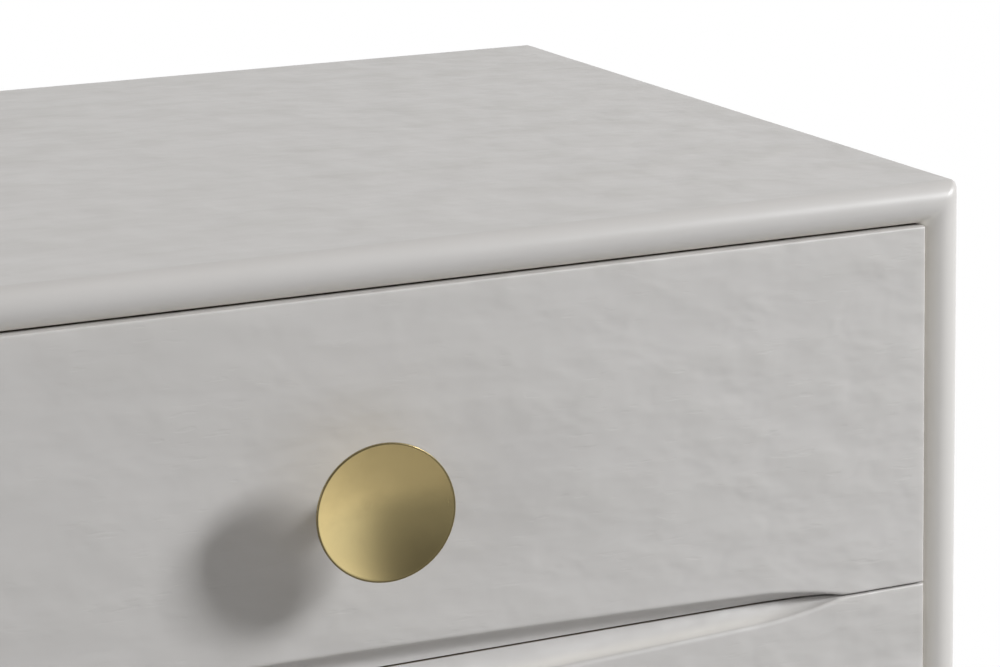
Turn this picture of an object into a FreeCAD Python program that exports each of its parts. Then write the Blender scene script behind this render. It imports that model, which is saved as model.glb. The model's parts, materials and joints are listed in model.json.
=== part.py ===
"""Campaign chest of four drawers: a mitred lacquered case with rounded front edges, coved
drawer fronts that meet in long lens-shaped scoops, dished brass knobs, dovetailed drawer
boxes and wooden web frames that carry them. Millimetres, +Z up, front towards -Y, origin on
the floor under the middle of the whole object, knobs included."""
import FreeCAD, Part
import os
import re
import Sketcher

DRAWER_COUNT = 4
TAIL_COUNT = 4
MITRE = "45 deg"
TOLERANCE = 1e-6

SIZES = {
    # Case boards
    "case_width": 914, "case_depth": 568, "case_board": 19, "corner_round": 3,
    "back_thickness": 8, "back_rebate": 9, "back_play": 0.5,
    # Base under the case
    "plinth_height": 82, "plinth_board": 19, "plinth_front_inset": 45, "plinth_side_inset": 30,
    "plinth_back_inset": 20, "block_width": 34, "glide_height": 5, "glide_radius": 12,
    "glide_taper": 2,
    # Web frames, runners and kickers
    "rail_thickness": 19, "rail_depth": 60, "runner_width": 45, "dado_depth": 6,
    "tongue_thickness": 6, "tongue_length": 10, "runner_play": 0.3, "stop_play": 0.3,
    # Drawer fronts and the gaps round them
    "front_height": 175.4, "front_thickness": 22, "front_setback": 1, "front_edge_round": 1.2,
    "front_reveal": 0.6, "seam_gap": 1, "front_lip": 8,
    # Scoop shared by two drawer fronts
    "scoop_half_length": 393.4, "scoop_height": 13.5, "scoop_shoulder": 7, "scoop_tip": 48,
    "scoop_depth": 10.5,
    # Drawer boxes
    "side_thickness": 12, "side_back_gap": 12, "box_top_gap": 3, "tail_length": 14,
    "pin_width": 7, "tail_flare": 1.75, "drawer_back_thickness": 12, "drawer_back_inset": 10,
    "drawer_back_drop": 6, "housing_depth": 6, "bottom_thickness": 6, "bottom_rise": 10,
    "groove_depth": 6, "bottom_play": 0.2,
    # Knobs and their screws
    "knob_radius": 31, "knob_projection": 36, "knob_rim": 1.2, "knob_lip": 0.8,
    "knob_dish": 5, "stem_radius": 7, "knob_base_radius": 11, "knob_base_height": 2.5,
    "knob_flare": 3, "knob_web": 3, "knob_offset": 157.7, "screw_radius": 2,
    "screw_play": 0.2, "screw_head_radius": 4.5, "screw_head_height": 2.8, "screw_reach": 12,
    # Overrun of every cutting outline past the wood
    "cut_overrun": 2,
}

document = FreeCAD.newDocument("campaign_chest")
sheet = document.addObject("Spreadsheet::Sheet", "Sizes")
for row, (size_name, size_value) in enumerate(SIZES.items(), start=1):
    sheet.set(f"A{row}", size_name)
    sheet.set(f"B{row}", str(size_value))
    sheet.setAlias(f"B{row}", size_name)
document.recompute()

sub_parts = []
cutting_features = []


def formula(text):
    """Point every size name in an expression at its cell."""
    return re.sub(r"\b[a-z]+(?:_[a-z]+)+\b", lambda found: "Sizes." + found.group(0), str(text))


def value(text):
    """Number that an expression has now."""
    return float(sheet.evalExpression(formula(text)))


def bind(target, **expressions):
    """Bind properties to size expressions."""
    for name, text in expressions.items():
        target.setExpression(name, formula(text))


def place(target, x="0", y="0", z="0"):
    """Bind the place of an object to size expressions."""
    for axis, text in zip("xyz", (x, y, z)):
        target.setExpression("Placement.Base." + axis, formula(text))


def sub_part(target, node):
    """Keep a finished object as the named sub-part."""
    target.Label = node
    sub_parts.append(target)
    return target


# Places that many pieces share, as expressions of the sizes
CASE_FRONT = "((knob_projection - front_setback - case_depth) / 2)"
CASE_BOTTOM = "(glide_height + plinth_height)"
INNER_HALF = "(case_width / 2 - case_board)"
FRONT_PITCH = "(front_height + seam_gap)"
INNER_HEIGHT = f"(2 * front_reveal + {DRAWER_COUNT} * {FRONT_PITCH} - seam_gap)"
CASE_HEIGHT = f"({INNER_HEIGHT} + 2 * case_board)"
INNER_BOTTOM = f"({CASE_BOTTOM} + case_board)"
INNER_TOP = f"({INNER_BOTTOM} + {INNER_HEIGHT})"
NOSE = "(case_board / 2)"
FRONT_PLANE = f"({CASE_FRONT} + front_setback)"
FRONT_HALF = f"({INNER_HALF} - front_reveal)"
FRAME_FRONT = "(front_setback + front_thickness + stop_play)"
FRAME_BACK = "(case_depth - back_thickness)"
FRAME_DEPTH = f"({FRAME_BACK} - {FRAME_FRONT})"
BOX_HEIGHT = f"({FRONT_PITCH} - rail_thickness - runner_play - box_top_gap)"
SIDE_FRONT = "(front_thickness - tail_length)"
SIDE_LENGTH = f"({FRAME_BACK} - front_setback - {SIDE_FRONT} - side_back_gap)"
TAIL_PITCH = f"({BOX_HEIGHT} / {TAIL_COUNT})"
KNOB_LEVEL = "(front_height / 2)"
SCREW_BORE = "(screw_radius + screw_play)"


def front_bottom(drawer):
    """Height of the lower edge of a drawer front, counted from the top drawer down."""
    return f"({INNER_BOTTOM} + front_reveal + {DRAWER_COUNT - drawer} * {FRONT_PITCH})"


def origin_feature(body, role):
    """Plane or axis of a body's own origin."""
    return next(item for item in body.Origin.OriginFeatures if item.Role == role)


def new_body(node):
    """Empty body that is kept as a sub-part."""
    return sub_part(document.addObject("PartDesign::Body", node), node)


def new_sketch(body, name, plane, offset="0"):
    """Sketch on one of the body's own planes, moved along that plane's normal."""
    sketch = body.newObject("Sketcher::SketchObject", f"{body.Label}_{name}")
    sketch.AttachmentSupport = [(origin_feature(body, plane), "")]
    sketch.MapMode = "FlatFace"
    sketch.setExpression("AttachmentOffset.Base.z", formula(offset))
    return sketch


def fix_coordinate(sketch, kind, geometry, point, text):
    """Tie one coordinate of a sketch point to an expression, or to the axis where it is zero."""
    number = value(text)
    if abs(number) < TOLERANCE:
        axis = -2 if kind == "DistanceX" else -1
        sketch.addConstraint(Sketcher.Constraint("PointOnObject", geometry, point, axis))
        return
    index = sketch.addConstraint(Sketcher.Constraint(kind, -1, 1, geometry, point, number))
    sketch.setExpression(f"Constraints[{index}]", formula(text))


def draw(sketch, corners, centres=None, closed=True):
    """Chain of lines and short arcs through corners given as expressions. centres maps the
    number of an edge to the centre of its arc."""
    centres = centres or {}
    points = [FreeCAD.Vector(value(u), value(v), 0) for u, v in corners]
    edge_count = len(points) if closed else len(points) - 1
    ends = []
    for edge in range(edge_count):
        first, last = points[edge], points[(edge + 1) % len(points)]
        if edge not in centres:
            geometry = sketch.addGeometry(Part.LineSegment(first, last), False)
            ends.append((geometry, 1, 2))
            continue
        centre = FreeCAD.Vector(*(value(text) for text in centres[edge]), 0)
        turn = (first - centre).cross(last - centre).z
        begin, finish = (first, last) if turn > 0 else (last, first)
        circle = Part.Circle(centre, FreeCAD.Vector(0, 0, 1), (first - centre).Length)
        arc = Part.ArcOfCircle(circle, circle.parameter(begin), circle.parameter(finish))
        geometry = sketch.addGeometry(arc, False)
        ends.append((geometry, 1, 2) if turn > 0 else (geometry, 2, 1))
        chord = last - first
        kind, text = (("DistanceY", centres[edge][1]) if abs(chord.x) > abs(chord.y)
                      else ("DistanceX", centres[edge][0]))
        fix_coordinate(sketch, kind, geometry, 3, text)
    for edge, (geometry, start, _) in enumerate(ends):
        fix_coordinate(sketch, "DistanceX", geometry, start, corners[edge][0])
        fix_coordinate(sketch, "DistanceY", geometry, start, corners[edge][1])
        if closed or edge > 0:
            before, _, stop = ends[edge - 1]
            sketch.addConstraint(Sketcher.Constraint("Coincident", before, stop, geometry, start))
    if not closed:
        geometry, _, stop = ends[-1]
        fix_coordinate(sketch, "DistanceX", geometry, stop, corners[-1][0])
        fix_coordinate(sketch, "DistanceY", geometry, stop, corners[-1][1])
    return sketch


def rectangle(left, low, right, high):
    """Corners of a rectangle in a sketch."""
    return [(left, low), (right, low), (right, high), (left, high)]


def pad(body, sketch, length):
    """Solid along the sketch's normal."""
    feature = body.newObject("PartDesign::Pad", sketch.Label + "_pad")
    feature.Profile = sketch
    bind(feature, Length=length)
    return feature


def pocket(body, sketch, depth=None, along_normal=False):
    """Cut against the sketch's normal, or along it; right through without a depth."""
    feature = body.newObject("PartDesign::Pocket", sketch.Label + "_cut")
    feature.Profile = sketch
    feature.Reversed = along_normal
    if depth is None:
        feature.Type = "ThroughAll"
    else:
        bind(feature, Length=depth)
    cutting_features.append(feature)
    return feature


def repeat_upwards(body, feature, length, count):
    """Row of a feature along the body's Z axis."""
    row = body.newObject("PartDesign::LinearPattern", feature.Label + "_row")
    row.Originals = [feature]
    row.Direction = (origin_feature(body, "Z_Axis"), [""])
    bind(row, Length=length)
    row.Occurrences = count
    body.Tip = row
    return row


def box(name, size, at):
    """Block with its lowest corner at a place."""
    block = document.addObject("Part::Box", name)
    bind(block, Length=size[0], Width=size[1], Height=size[2])
    place(block, *at)
    return block


def mitre_corners(outer, side, inner_edge, outer_edge):
    """Outline that takes the waste off one mitred end of a case board. The board lies between
    inner_edge and outer_edge across its thickness, and outer is where the end stops; side is
    the way that the end points and out the way that the outer face points."""
    out = 1 if value(outer_edge) > value(inner_edge) else -1
    middle = f"(corner_round * (1 - cos({MITRE})))"
    board_start = f"({inner_edge} - {out} * cut_overrun)"
    beyond = f"({outer} + {side} * cut_overrun)"
    above = f"({outer_edge} + {out} * cut_overrun)"
    corners = [
        (f"({outer} - {side} * (case_board + cut_overrun))", board_start),
        (f"({outer} - {side} * {middle})", f"({outer_edge} - {out} * {middle})"),
        (f"({outer} - {side} * corner_round)", outer_edge),
        (f"({outer} - {side} * corner_round)", above),
        (beyond, above),
        (beyond, board_start),
    ]
    centre = (f"({outer} - {side} * corner_round)", f"({outer_edge} - {out} * corner_round)")
    return corners, {1: centre}


def flat_case_board(node, inner, z_place):
    """Top or bottom board: rounded nose, rebate for the back, mitred ends. inner is the way
    that its inner face points, -1 down or 1 up."""
    body = new_body(node)
    near, far = ("0", "case_board") if inner < 0 else ("case_board", "0")
    step = "back_rebate" if inner < 0 else "(case_board - back_rebate)"
    profile = new_sketch(body, "profile", "YZ_Plane", "-case_width / 2")
    draw(profile, [(NOSE, near), ("0", NOSE), (NOSE, far), ("case_depth", far),
                   ("case_depth", step), (FRAME_BACK, step), (FRAME_BACK, near)],
         {0: (NOSE, NOSE), 1: (NOSE, NOSE)})
    pad(body, profile, "case_width")
    for side, end in ((-1, "left"), (1, "right")):
        corners, arcs = mitre_corners(f"({side} * case_width / 2)", side, near, far)
        pocket(body, draw(new_sketch(body, f"{end}_mitre", "XZ_Plane"), corners, arcs))
    place(body, "0", CASE_FRONT, z_place)


def side_case_board(node, side):
    """Side board: rounded nose, rebate for the back, mitred ends and a housing for the edge of
    each web frame. Its inner face is at zero and side is the way that it points outwards."""
    body = new_body(node)
    face = f"({side} * case_board)"
    step = f"({side} * back_rebate)"
    profile = new_sketch(body, "profile", "XY_Plane")
    middle = f"({side} * {NOSE})"
    draw(profile, [("0", NOSE), (middle, "0"), (face, NOSE), (face, "case_depth"),
                   (step, "case_depth"), (step, FRAME_BACK), ("0", FRAME_BACK)],
         {0: (middle, NOSE), 1: (middle, NOSE)})
    pad(body, profile, CASE_HEIGHT)
    for way, end, level in ((-1, "lower", "0"), (1, "upper", CASE_HEIGHT)):
        corners, arcs = mitre_corners(level, way, "0", face)
        swapped = [(across, along) for along, across in corners]
        turned = {edge: (across, along) for edge, (along, across) in arcs.items()}
        pocket(body, draw(new_sketch(body, f"{end}_mitre", "XZ_Plane"), swapped, turned))
    rail_bottom = f"({rail_top(DRAWER_COUNT - 1)} - rail_thickness - {CASE_BOTTOM})"
    housing = draw(new_sketch(body, "housing", "YZ_Plane"),
                   rectangle(FRAME_FRONT, rail_bottom, FRAME_BACK, f"({rail_bottom} + rail_thickness)"))
    cut = pocket(body, housing, "dado_depth", along_normal=side > 0)
    repeat_upwards(body, cut, f"{DRAWER_COUNT - 2} * {FRONT_PITCH}", DRAWER_COUNT - 1)
    place(body, f"{side} * {INNER_HALF}", CASE_FRONT, CASE_BOTTOM)


def rail_top(drawer):
    """Top of the web frame that carries a drawer."""
    return f"({front_bottom(drawer)} + front_lip - runner_play)"


def case():
    """Four mitred boards and the back that sits in their rebates."""
    flat_case_board("top_panel", -1, INNER_TOP)
    flat_case_board("bottom_panel", 1, CASE_BOTTOM)
    side_case_board("left_side_panel", -1)
    side_case_board("right_side_panel", 1)
    rebate = "(back_rebate - back_play)"
    back = box("back", (f"2 * ({INNER_HALF} + {rebate})", "back_thickness",
                        f"{INNER_HEIGHT} + 2 * {rebate}"),
               (f"-{INNER_HALF} - {rebate}", f"{CASE_FRONT} + {FRAME_BACK}",
                f"{INNER_BOTTOM} - {rebate}"))
    sub_part(back, "back_panel")


def rail(node, drawer, y_place, groove_place):
    """Cross rail of a web frame, let into both side boards, with a groove for the tongues."""
    half = f"({INNER_HALF} + dado_depth)"
    level = f"{rail_top(drawer)} - rail_thickness"
    board = box(node + "_board", (f"2 * {half}", "rail_depth", "rail_thickness"),
                (f"-{half}", y_place, level))
    groove = box(node + "_groove", (f"2 * {half}", "tongue_length", "tongue_thickness"),
                 (f"-{half}", groove_place, f"{level} + (rail_thickness - tongue_thickness) / 2"))
    grooved = document.addObject("Part::Cut", node)
    grooved.Base = board
    grooved.Tool = groove
    sub_part(grooved, node)


def web_frame(drawer):
    """Front and back rails with a runner at each side between them, under one drawer."""
    front = f"({CASE_FRONT} + {FRAME_FRONT})"
    back = f"({CASE_FRONT} + {FRAME_BACK} - rail_depth)"
    rail(f"front_rail_{drawer}", drawer, front, f"{front} + rail_depth - tongue_length")
    rail(f"back_rail_{drawer}", drawer, back, back)
    level = f"({rail_top(drawer)} - rail_thickness)"
    for side, name in ((-1, "left"), (1, "right")):
        node = f"{name}_runner_{drawer}"
        outer = f"({INNER_HALF} + dado_depth)"
        x_place = f"-{outer}" if side < 0 else f"{outer} - runner_width"
        start = f"({front} + rail_depth)"
        length = f"({FRAME_DEPTH} - 2 * rail_depth)"
        body = box(node + "_board", ("runner_width", length, "rail_thickness"),
                   (x_place, start, level))
        tongue = box(node + "_tongue",
                     ("runner_width", f"{length} + 2 * tongue_length", "tongue_thickness"),
                     (x_place, f"{start} - tongue_length",
                      f"{level} + (rail_thickness - tongue_thickness) / 2"))
        runner = document.addObject("Part::Fuse", node)
        runner.Base = body
        runner.Tool = tongue
        sub_part(runner, node)


def strips():
    """Runners of the lowest drawer and kickers over the highest one."""
    start = f"{CASE_FRONT} + {FRAME_FRONT}"
    kicker = f"(front_reveal + front_height - front_lip - {BOX_HEIGHT} - box_top_gap)"
    lowest = "(front_reveal + front_lip - runner_play)"
    for side, name in ((-1, "left"), (1, "right")):
        x_place = f"-{INNER_HALF}" if side < 0 else f"{INNER_HALF} - runner_width"
        sub_part(box(name + "_strip", ("runner_width", FRAME_DEPTH, lowest),
                     (x_place, start, INNER_BOTTOM)), f"{name}_bottom_runner")
        sub_part(box(name + "_kick", ("runner_width", FRAME_DEPTH, kicker),
                     (x_place, start, f"{INNER_TOP} - {kicker}")), f"{name}_top_kicker")


def group(node, members):
    """Like pieces kept together as one sub-part of separate solids."""
    compound = document.addObject("Part::Compound", node)
    compound.Links = members
    return sub_part(compound, node)


def plinth():
    """Recessed base: four boards, corner blocks and the glides that it stands on."""
    half = "(case_width / 2 - plinth_side_inset)"
    front = f"({CASE_FRONT} + plinth_front_inset)"
    back = f"({CASE_FRONT} + case_depth - plinth_back_inset)"
    inner_front = f"({front} + plinth_board)"
    inner_back = f"({back} - plinth_board)"
    inner_half = f"({half} - plinth_board)"
    long_board = (f"2 * {half}", "plinth_board", "plinth_height")
    short_board = ("plinth_board", f"{inner_back} - {inner_front}", "plinth_height")
    for name, size, x_place, y_place in (
            ("plinth_front", long_board, f"-{half}", front),
            ("plinth_back", long_board, f"-{half}", inner_back),
            ("plinth_left", short_board, f"-{half}", inner_front),
            ("plinth_right", short_board, inner_half, inner_front)):
        sub_part(box(name + "_board", size, (x_place, y_place, "glide_height")), name)
    blocks = []
    glides = []
    for corner_x in (-1, 1):
        x_place = f"-{inner_half}" if corner_x < 0 else f"{inner_half} - block_width"
        for corner_y in (-1, 1):
            y_place = inner_front if corner_y < 0 else f"{inner_back} - block_width"
            blocks.append(box("corner_block", ("block_width", "block_width", "plinth_height"),
                              (x_place, y_place, "glide_height")))
            glide = document.addObject("Part::Cone", "glide")
            bind(glide, Radius1="glide_radius - glide_taper", Radius2="glide_radius",
                 Height="glide_height")
            place(glide, f"{x_place} + block_width / 2", f"{y_place} + block_width / 2")
            glides.append(glide)
    group("plinth_corner_blocks", blocks)
    group("plinth_glides", glides)


# Lens-shaped scoop: a long middle arc that turns into a tighter arc at each tip
SCOOP_REACH = "(scoop_half_length - scoop_tip)"
SCOOP_TURN = f"(2 * atan((scoop_height - scoop_shoulder) / {SCOOP_REACH}))"
SCOOP_MIDDLE_RADIUS = f"({SCOOP_REACH} / sin({SCOOP_TURN}))"
SCOOP_TIP_CHORD = "sqrt(scoop_shoulder ^ 2 + scoop_tip ^ 2)"
SCOOP_TIP_TURN = f"(atan(scoop_shoulder / scoop_tip) - {SCOOP_TURN})"
SCOOP_TIP_RADIUS = f"({SCOOP_TIP_CHORD} / (2 * sin({SCOOP_TIP_TURN})))"
SCOOP_TIP_X = f"({SCOOP_REACH} - {SCOOP_TIP_RADIUS} * sin({SCOOP_TURN}))"
SCOOP_TIP_Z = f"(scoop_shoulder - {SCOOP_TIP_RADIUS} * cos({SCOOP_TURN}))"
SCOOP_END_TURN = f"acos((-cut_overrun - {SCOOP_TIP_Z}) / {SCOOP_TIP_RADIUS})"


def scoop(body, name, edge, way):
    """Cove turned along the three tangent arcs of the lens outline, on one long edge of a drawer
    front. way points from that edge into the front, 1 up or -1 down."""
    starts = {-1: f"(-{SCOOP_END_TURN})", 0: f"(-{SCOOP_TURN})", 1: SCOOP_TURN}
    tip_turn = f"({SCOOP_END_TURN} - {SCOOP_TURN})"
    middle_height = f"(scoop_height - {SCOOP_MIDDLE_RADIUS})"
    arcs = (("left", -1, f"(-{SCOOP_TIP_X})", SCOOP_TIP_Z, SCOOP_TIP_RADIUS, tip_turn),
            ("middle", 0, "0", middle_height, SCOOP_MIDDLE_RADIUS, f"(2 * {SCOOP_TURN})"),
            ("right", 1, SCOOP_TIP_X, SCOOP_TIP_Z, SCOOP_TIP_RADIUS, tip_turn))
    for part, side, centre_x, centre_height, radius, turn in arcs:
        start = starts[side * way]
        cove = new_sketch(body, f"{name}_{part}", "YZ_Plane", centre_x)
        cove.AttachmentOffset.Rotation = FreeCAD.Rotation(FreeCAD.Vector(1, 0, 0), value(start))
        cove.setExpression("AttachmentOffset.Base.y", formula(f"{edge} + {way} * {centre_height}"))
        cove.setExpression("AttachmentOffset.Rotation.Angle", formula(start))
        crest = f"({way} * {radius})"
        floor = f"({way} * ({radius} - scoop_depth))"
        low = f"({way} * ({radius} - scoop_depth - scoop_height))"
        draw(cove, [("-cut_overrun", crest), ("0", crest), ("scoop_depth", floor),
                    ("scoop_depth", low), ("-cut_overrun", low)], {1: ("0", floor)})
        feature = body.newObject("PartDesign::Groove", f"{body.Label}_{name}_{part}_cove")
        feature.Profile = cove
        feature.ReferenceAxis = (cove, ["H_Axis"])
        bind(feature, Angle=turn)
        cutting_features.append(feature)


def round_front_edges(body, block):
    """Ease the four edges of the face that shows."""
    document.recompute()
    edges = [f"Edge{number}" for number, edge in enumerate(block.Shape.Edges, start=1)
             if all(abs(vertex.Y) < TOLERANCE for vertex in edge.Vertexes)]
    rounding = body.newObject("PartDesign::Fillet", body.Label + "_edges")
    rounding.Base = (block, edges)
    bind(rounding, Radius="front_edge_round")


def drawer_front(drawer):
    """Thick front with its scoops, dovetail sockets, groove for the bottom and knob holes."""
    body = new_body(f"drawer_{drawer}_front")
    plate = draw(new_sketch(body, "plate", "XY_Plane"),
                 rectangle(f"-{FRONT_HALF}", "0", FRONT_HALF, "front_thickness"))
    round_front_edges(body, pad(body, plate, "front_height"))
    if drawer < DRAWER_COUNT:
        scoop(body, "lower_scoop", "0", 1)
    if drawer > 1:
        scoop(body, "upper_scoop", "front_height", -1)
    socket_low = f"(front_lip + {TAIL_PITCH} / 2)"
    for side, name in ((-1, "left"), (1, "right")):
        tip = f"(({TAIL_PITCH} - pin_width) / 2)"
        neck = f"({tip} - tail_flare)"
        corners = [(SIDE_FRONT, f"{socket_low} - {tip}"), ("front_thickness", f"{socket_low} - {neck}"),
                   ("front_thickness", f"{socket_low} + {neck}"), (SIDE_FRONT, f"{socket_low} + {tip}")]
        socket = draw(new_sketch(body, name + "_socket", "YZ_Plane", f"{side} * {FRONT_HALF}"), corners)
        cut = pocket(body, socket, "side_thickness", along_normal=side < 0)
        repeat_upwards(body, cut, f"{BOX_HEIGHT} - {TAIL_PITCH}", TAIL_COUNT)
    groove_low = "(front_lip + bottom_rise)"
    groove_half = f"({FRONT_HALF} - side_thickness)"
    groove = draw(new_sketch(body, "groove", "XZ_Plane", "-front_thickness"),
                  rectangle(f"-{groove_half}", groove_low, groove_half, f"{groove_low} + bottom_thickness"))
    pocket(body, groove, "groove_depth", along_normal=True)
    holes = new_sketch(body, "knob_holes", "XZ_Plane")
    for side in (-1, 1):
        centre = FreeCAD.Vector(side * value("knob_offset"), value(KNOB_LEVEL), 0)
        circle = Part.Circle(centre, FreeCAD.Vector(0, 0, 1), value(SCREW_BORE))
        hole = holes.addGeometry(circle, False)
        fix_coordinate(holes, "DistanceX", hole, 3, f"{side} * knob_offset")
        fix_coordinate(holes, "DistanceY", hole, 3, KNOB_LEVEL)
        size = holes.addConstraint(Sketcher.Constraint("Radius", hole, value(SCREW_BORE)))
        holes.setExpression(f"Constraints[{size}]", formula(SCREW_BORE))
    pocket(body, holes)
    place(body, "0", FRONT_PLANE, front_bottom(drawer))


def drawer_side(drawer, side, name):
    """Drawer side: dovetails at the front, a groove for the bottom and a housing for the back.
    Its inner face is at zero and side is the way that it points outwards."""
    body = new_body(f"drawer_{drawer}_{name}_side")
    outer = f"({side} * side_thickness)"
    board = draw(new_sketch(body, "board", "XY_Plane"), rectangle("0", "0", outer, SIDE_LENGTH))
    pad(body, board, BOX_HEIGHT)
    gap = "(pin_width / 2)"
    root = f"({gap} + tail_flare)"
    pin = draw(new_sketch(body, "pin", "YZ_Plane"),
               [("0", f"-{gap}"), ("tail_length", f"-{root}"), ("tail_length", root), ("0", gap)])
    cut = pocket(body, pin, "side_thickness", along_normal=side > 0)
    repeat_upwards(body, cut, BOX_HEIGHT, TAIL_COUNT + 1)
    groove = draw(new_sketch(body, "groove", "YZ_Plane"),
                  rectangle("tail_length - groove_depth", "bottom_rise", f"{SIDE_LENGTH} + cut_overrun",
                            "bottom_rise + bottom_thickness"))
    pocket(body, groove, "groove_depth", along_normal=side > 0)
    back_end = f"({SIDE_LENGTH} - drawer_back_inset)"
    housing = draw(new_sketch(body, "housing", "YZ_Plane"),
                   rectangle(f"({back_end} - drawer_back_thickness)", "bottom_rise + bottom_thickness",
                             back_end, f"{BOX_HEIGHT} - drawer_back_drop"))
    pocket(body, housing, "housing_depth", along_normal=side > 0)
    place(body, f"{side} * ({FRONT_HALF} - side_thickness)", f"{FRONT_PLANE} + {SIDE_FRONT}",
          f"{front_bottom(drawer)} + front_lip")


def drawer_back_and_bottom(drawer):
    """Back board held in the sides, and the bottom that slides under it into the grooves."""
    node = f"drawer_{drawer}"
    inner = f"({FRONT_HALF} - side_thickness)"
    base = f"({front_bottom(drawer)} + front_lip + bottom_rise)"
    end = f"({FRONT_PLANE} + {SIDE_FRONT} + {SIDE_LENGTH} - drawer_back_inset)"
    back_half = f"({inner} + housing_depth)"
    back_height = f"{BOX_HEIGHT} - bottom_rise - bottom_thickness - drawer_back_drop"
    sub_part(box(node + "_back_board", (f"2 * {back_half}", "drawer_back_thickness", back_height),
                 (f"-{back_half}", f"{end} - drawer_back_thickness", f"{base} + bottom_thickness")),
             node + "_back")
    bottom_half = f"({inner} + groove_depth - bottom_play)"
    start = f"({FRONT_PLANE} + front_thickness - groove_depth + bottom_play)"
    sub_part(box(node + "_bottom_board", (f"2 * {bottom_half}", f"{end} - {start}", "bottom_thickness"),
                 (f"-{bottom_half}", start, base)), node + "_bottom")


def knob(drawer, side):
    """Turned knob: base flange, flared stem and a thin dish that is hollow towards the front."""
    body = document.addObject("PartDesign::Body", f"drawer_{drawer}_knob")
    face = "(-knob_projection)"
    lip = "(knob_radius - knob_lip)"
    dish = f"(({lip} ^ 2 + knob_dish ^ 2) / (2 * knob_dish))"
    centre = f"({face} + knob_dish - {dish})"
    profile = draw(new_sketch(body, "profile", "XY_Plane"), [
        (SCREW_BORE, "0"), ("knob_base_radius", "0"), ("knob_base_radius", "-knob_base_height"),
        ("(stem_radius + knob_flare)", "-knob_base_height"),
        ("stem_radius", "(-knob_base_height - knob_flare)"),
        ("stem_radius", f"({face} + knob_dish + knob_web)"),
        ("knob_radius", f"({face} + knob_rim)"), ("knob_radius", face), (lip, face),
        ("0", f"{face} + knob_dish"), ("0", "-screw_reach"), (SCREW_BORE, "-screw_reach")],
        {8: ("0", centre)})
    turned = body.newObject("PartDesign::Revolution", body.Label + "_turned")
    turned.Profile = profile
    turned.ReferenceAxis = (origin_feature(body, "Y_Axis"), [""])
    turned.Angle = 360
    place(body, f"{side} * knob_offset", FRONT_PLANE, f"{front_bottom(drawer)} + {KNOB_LEVEL}")
    return body


def knob_screws(drawer):
    """Machine screws that hold both knobs from inside the drawer."""
    screws = []
    for side in (-1, 1):
        level = f"{front_bottom(drawer)} + {KNOB_LEVEL}"
        shank = document.addObject("Part::Cylinder", "shank")
        bind(shank, Radius="screw_radius", Height="front_thickness + screw_reach - screw_play")
        head = document.addObject("Part::Cylinder", "head")
        bind(head, Radius="screw_head_radius", Height="screw_head_height")
        for solid, start in ((shank, f"{FRONT_PLANE} - screw_reach + screw_play"),
                             (head, f"{FRONT_PLANE} + front_thickness")):
            solid.Placement.Rotation = FreeCAD.Rotation(FreeCAD.Vector(1, 0, 0), -90)
            place(solid, f"{side} * knob_offset", start, level)
        screw = document.addObject("Part::Fuse", "screw")
        screw.Base = shank
        screw.Tool = head
        screws.append(screw)
    group(f"drawer_{drawer}_knob_screws", screws)


def drawer(number):
    """One drawer with its box, knobs and screws."""
    drawer_front(number)
    drawer_back_and_bottom(number)
    for side, name in ((-1, "left"), (1, "right")):
        drawer_side(number, side, name)
    group(f"drawer_{number}_knobs", [knob(number, side) for side in (-1, 1)])
    knob_screws(number)


def check_and_write():
    """Stop on any failed object, then write every sub-part."""
    document.recompute()
    for item in document.Objects:
        if any(word in item.State for word in ("Invalid", "Error")):
            raise RuntimeError(f"{item.Label} failed: {item.State} {item.getStatusString()}")
    for feature in cutting_features:
        before = feature.BaseFeature.Shape.Volume
        if not feature.Shape.Volume < before:
            raise RuntimeError(f"{feature.Label} cuts nothing")
    for item in sub_parts:
        if item.Shape.isNull() or not item.Shape.isValid():
            raise RuntimeError(f"{item.Label} has no valid shape")
    os.makedirs("parts", exist_ok=True)
    for item in sub_parts:
        item.Shape.exportStep(f"parts/{item.Label}.step")
        print(item.Label, len(item.Shape.Solids), round(item.Shape.Volume))


case()
for level_number in range(1, DRAWER_COUNT):
    web_frame(level_number)
strips()
plinth()
for drawer_number in range(1, DRAWER_COUNT + 1):
    drawer(drawer_number)
check_and_write()
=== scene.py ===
"""Looks of a lacquered campaign chest: smooth case boards, scooped drawer fronts, dished knobs, drawer
boxes and runners, laid out as an add-on and run as a script."""

import json
import math
from typing import NamedTuple

import bmesh
import bpy
import numpy as np
from bpy.props import FloatProperty, FloatVectorProperty, IntProperty, PointerProperty
from mathutils import Matrix, Vector, noise

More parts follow.
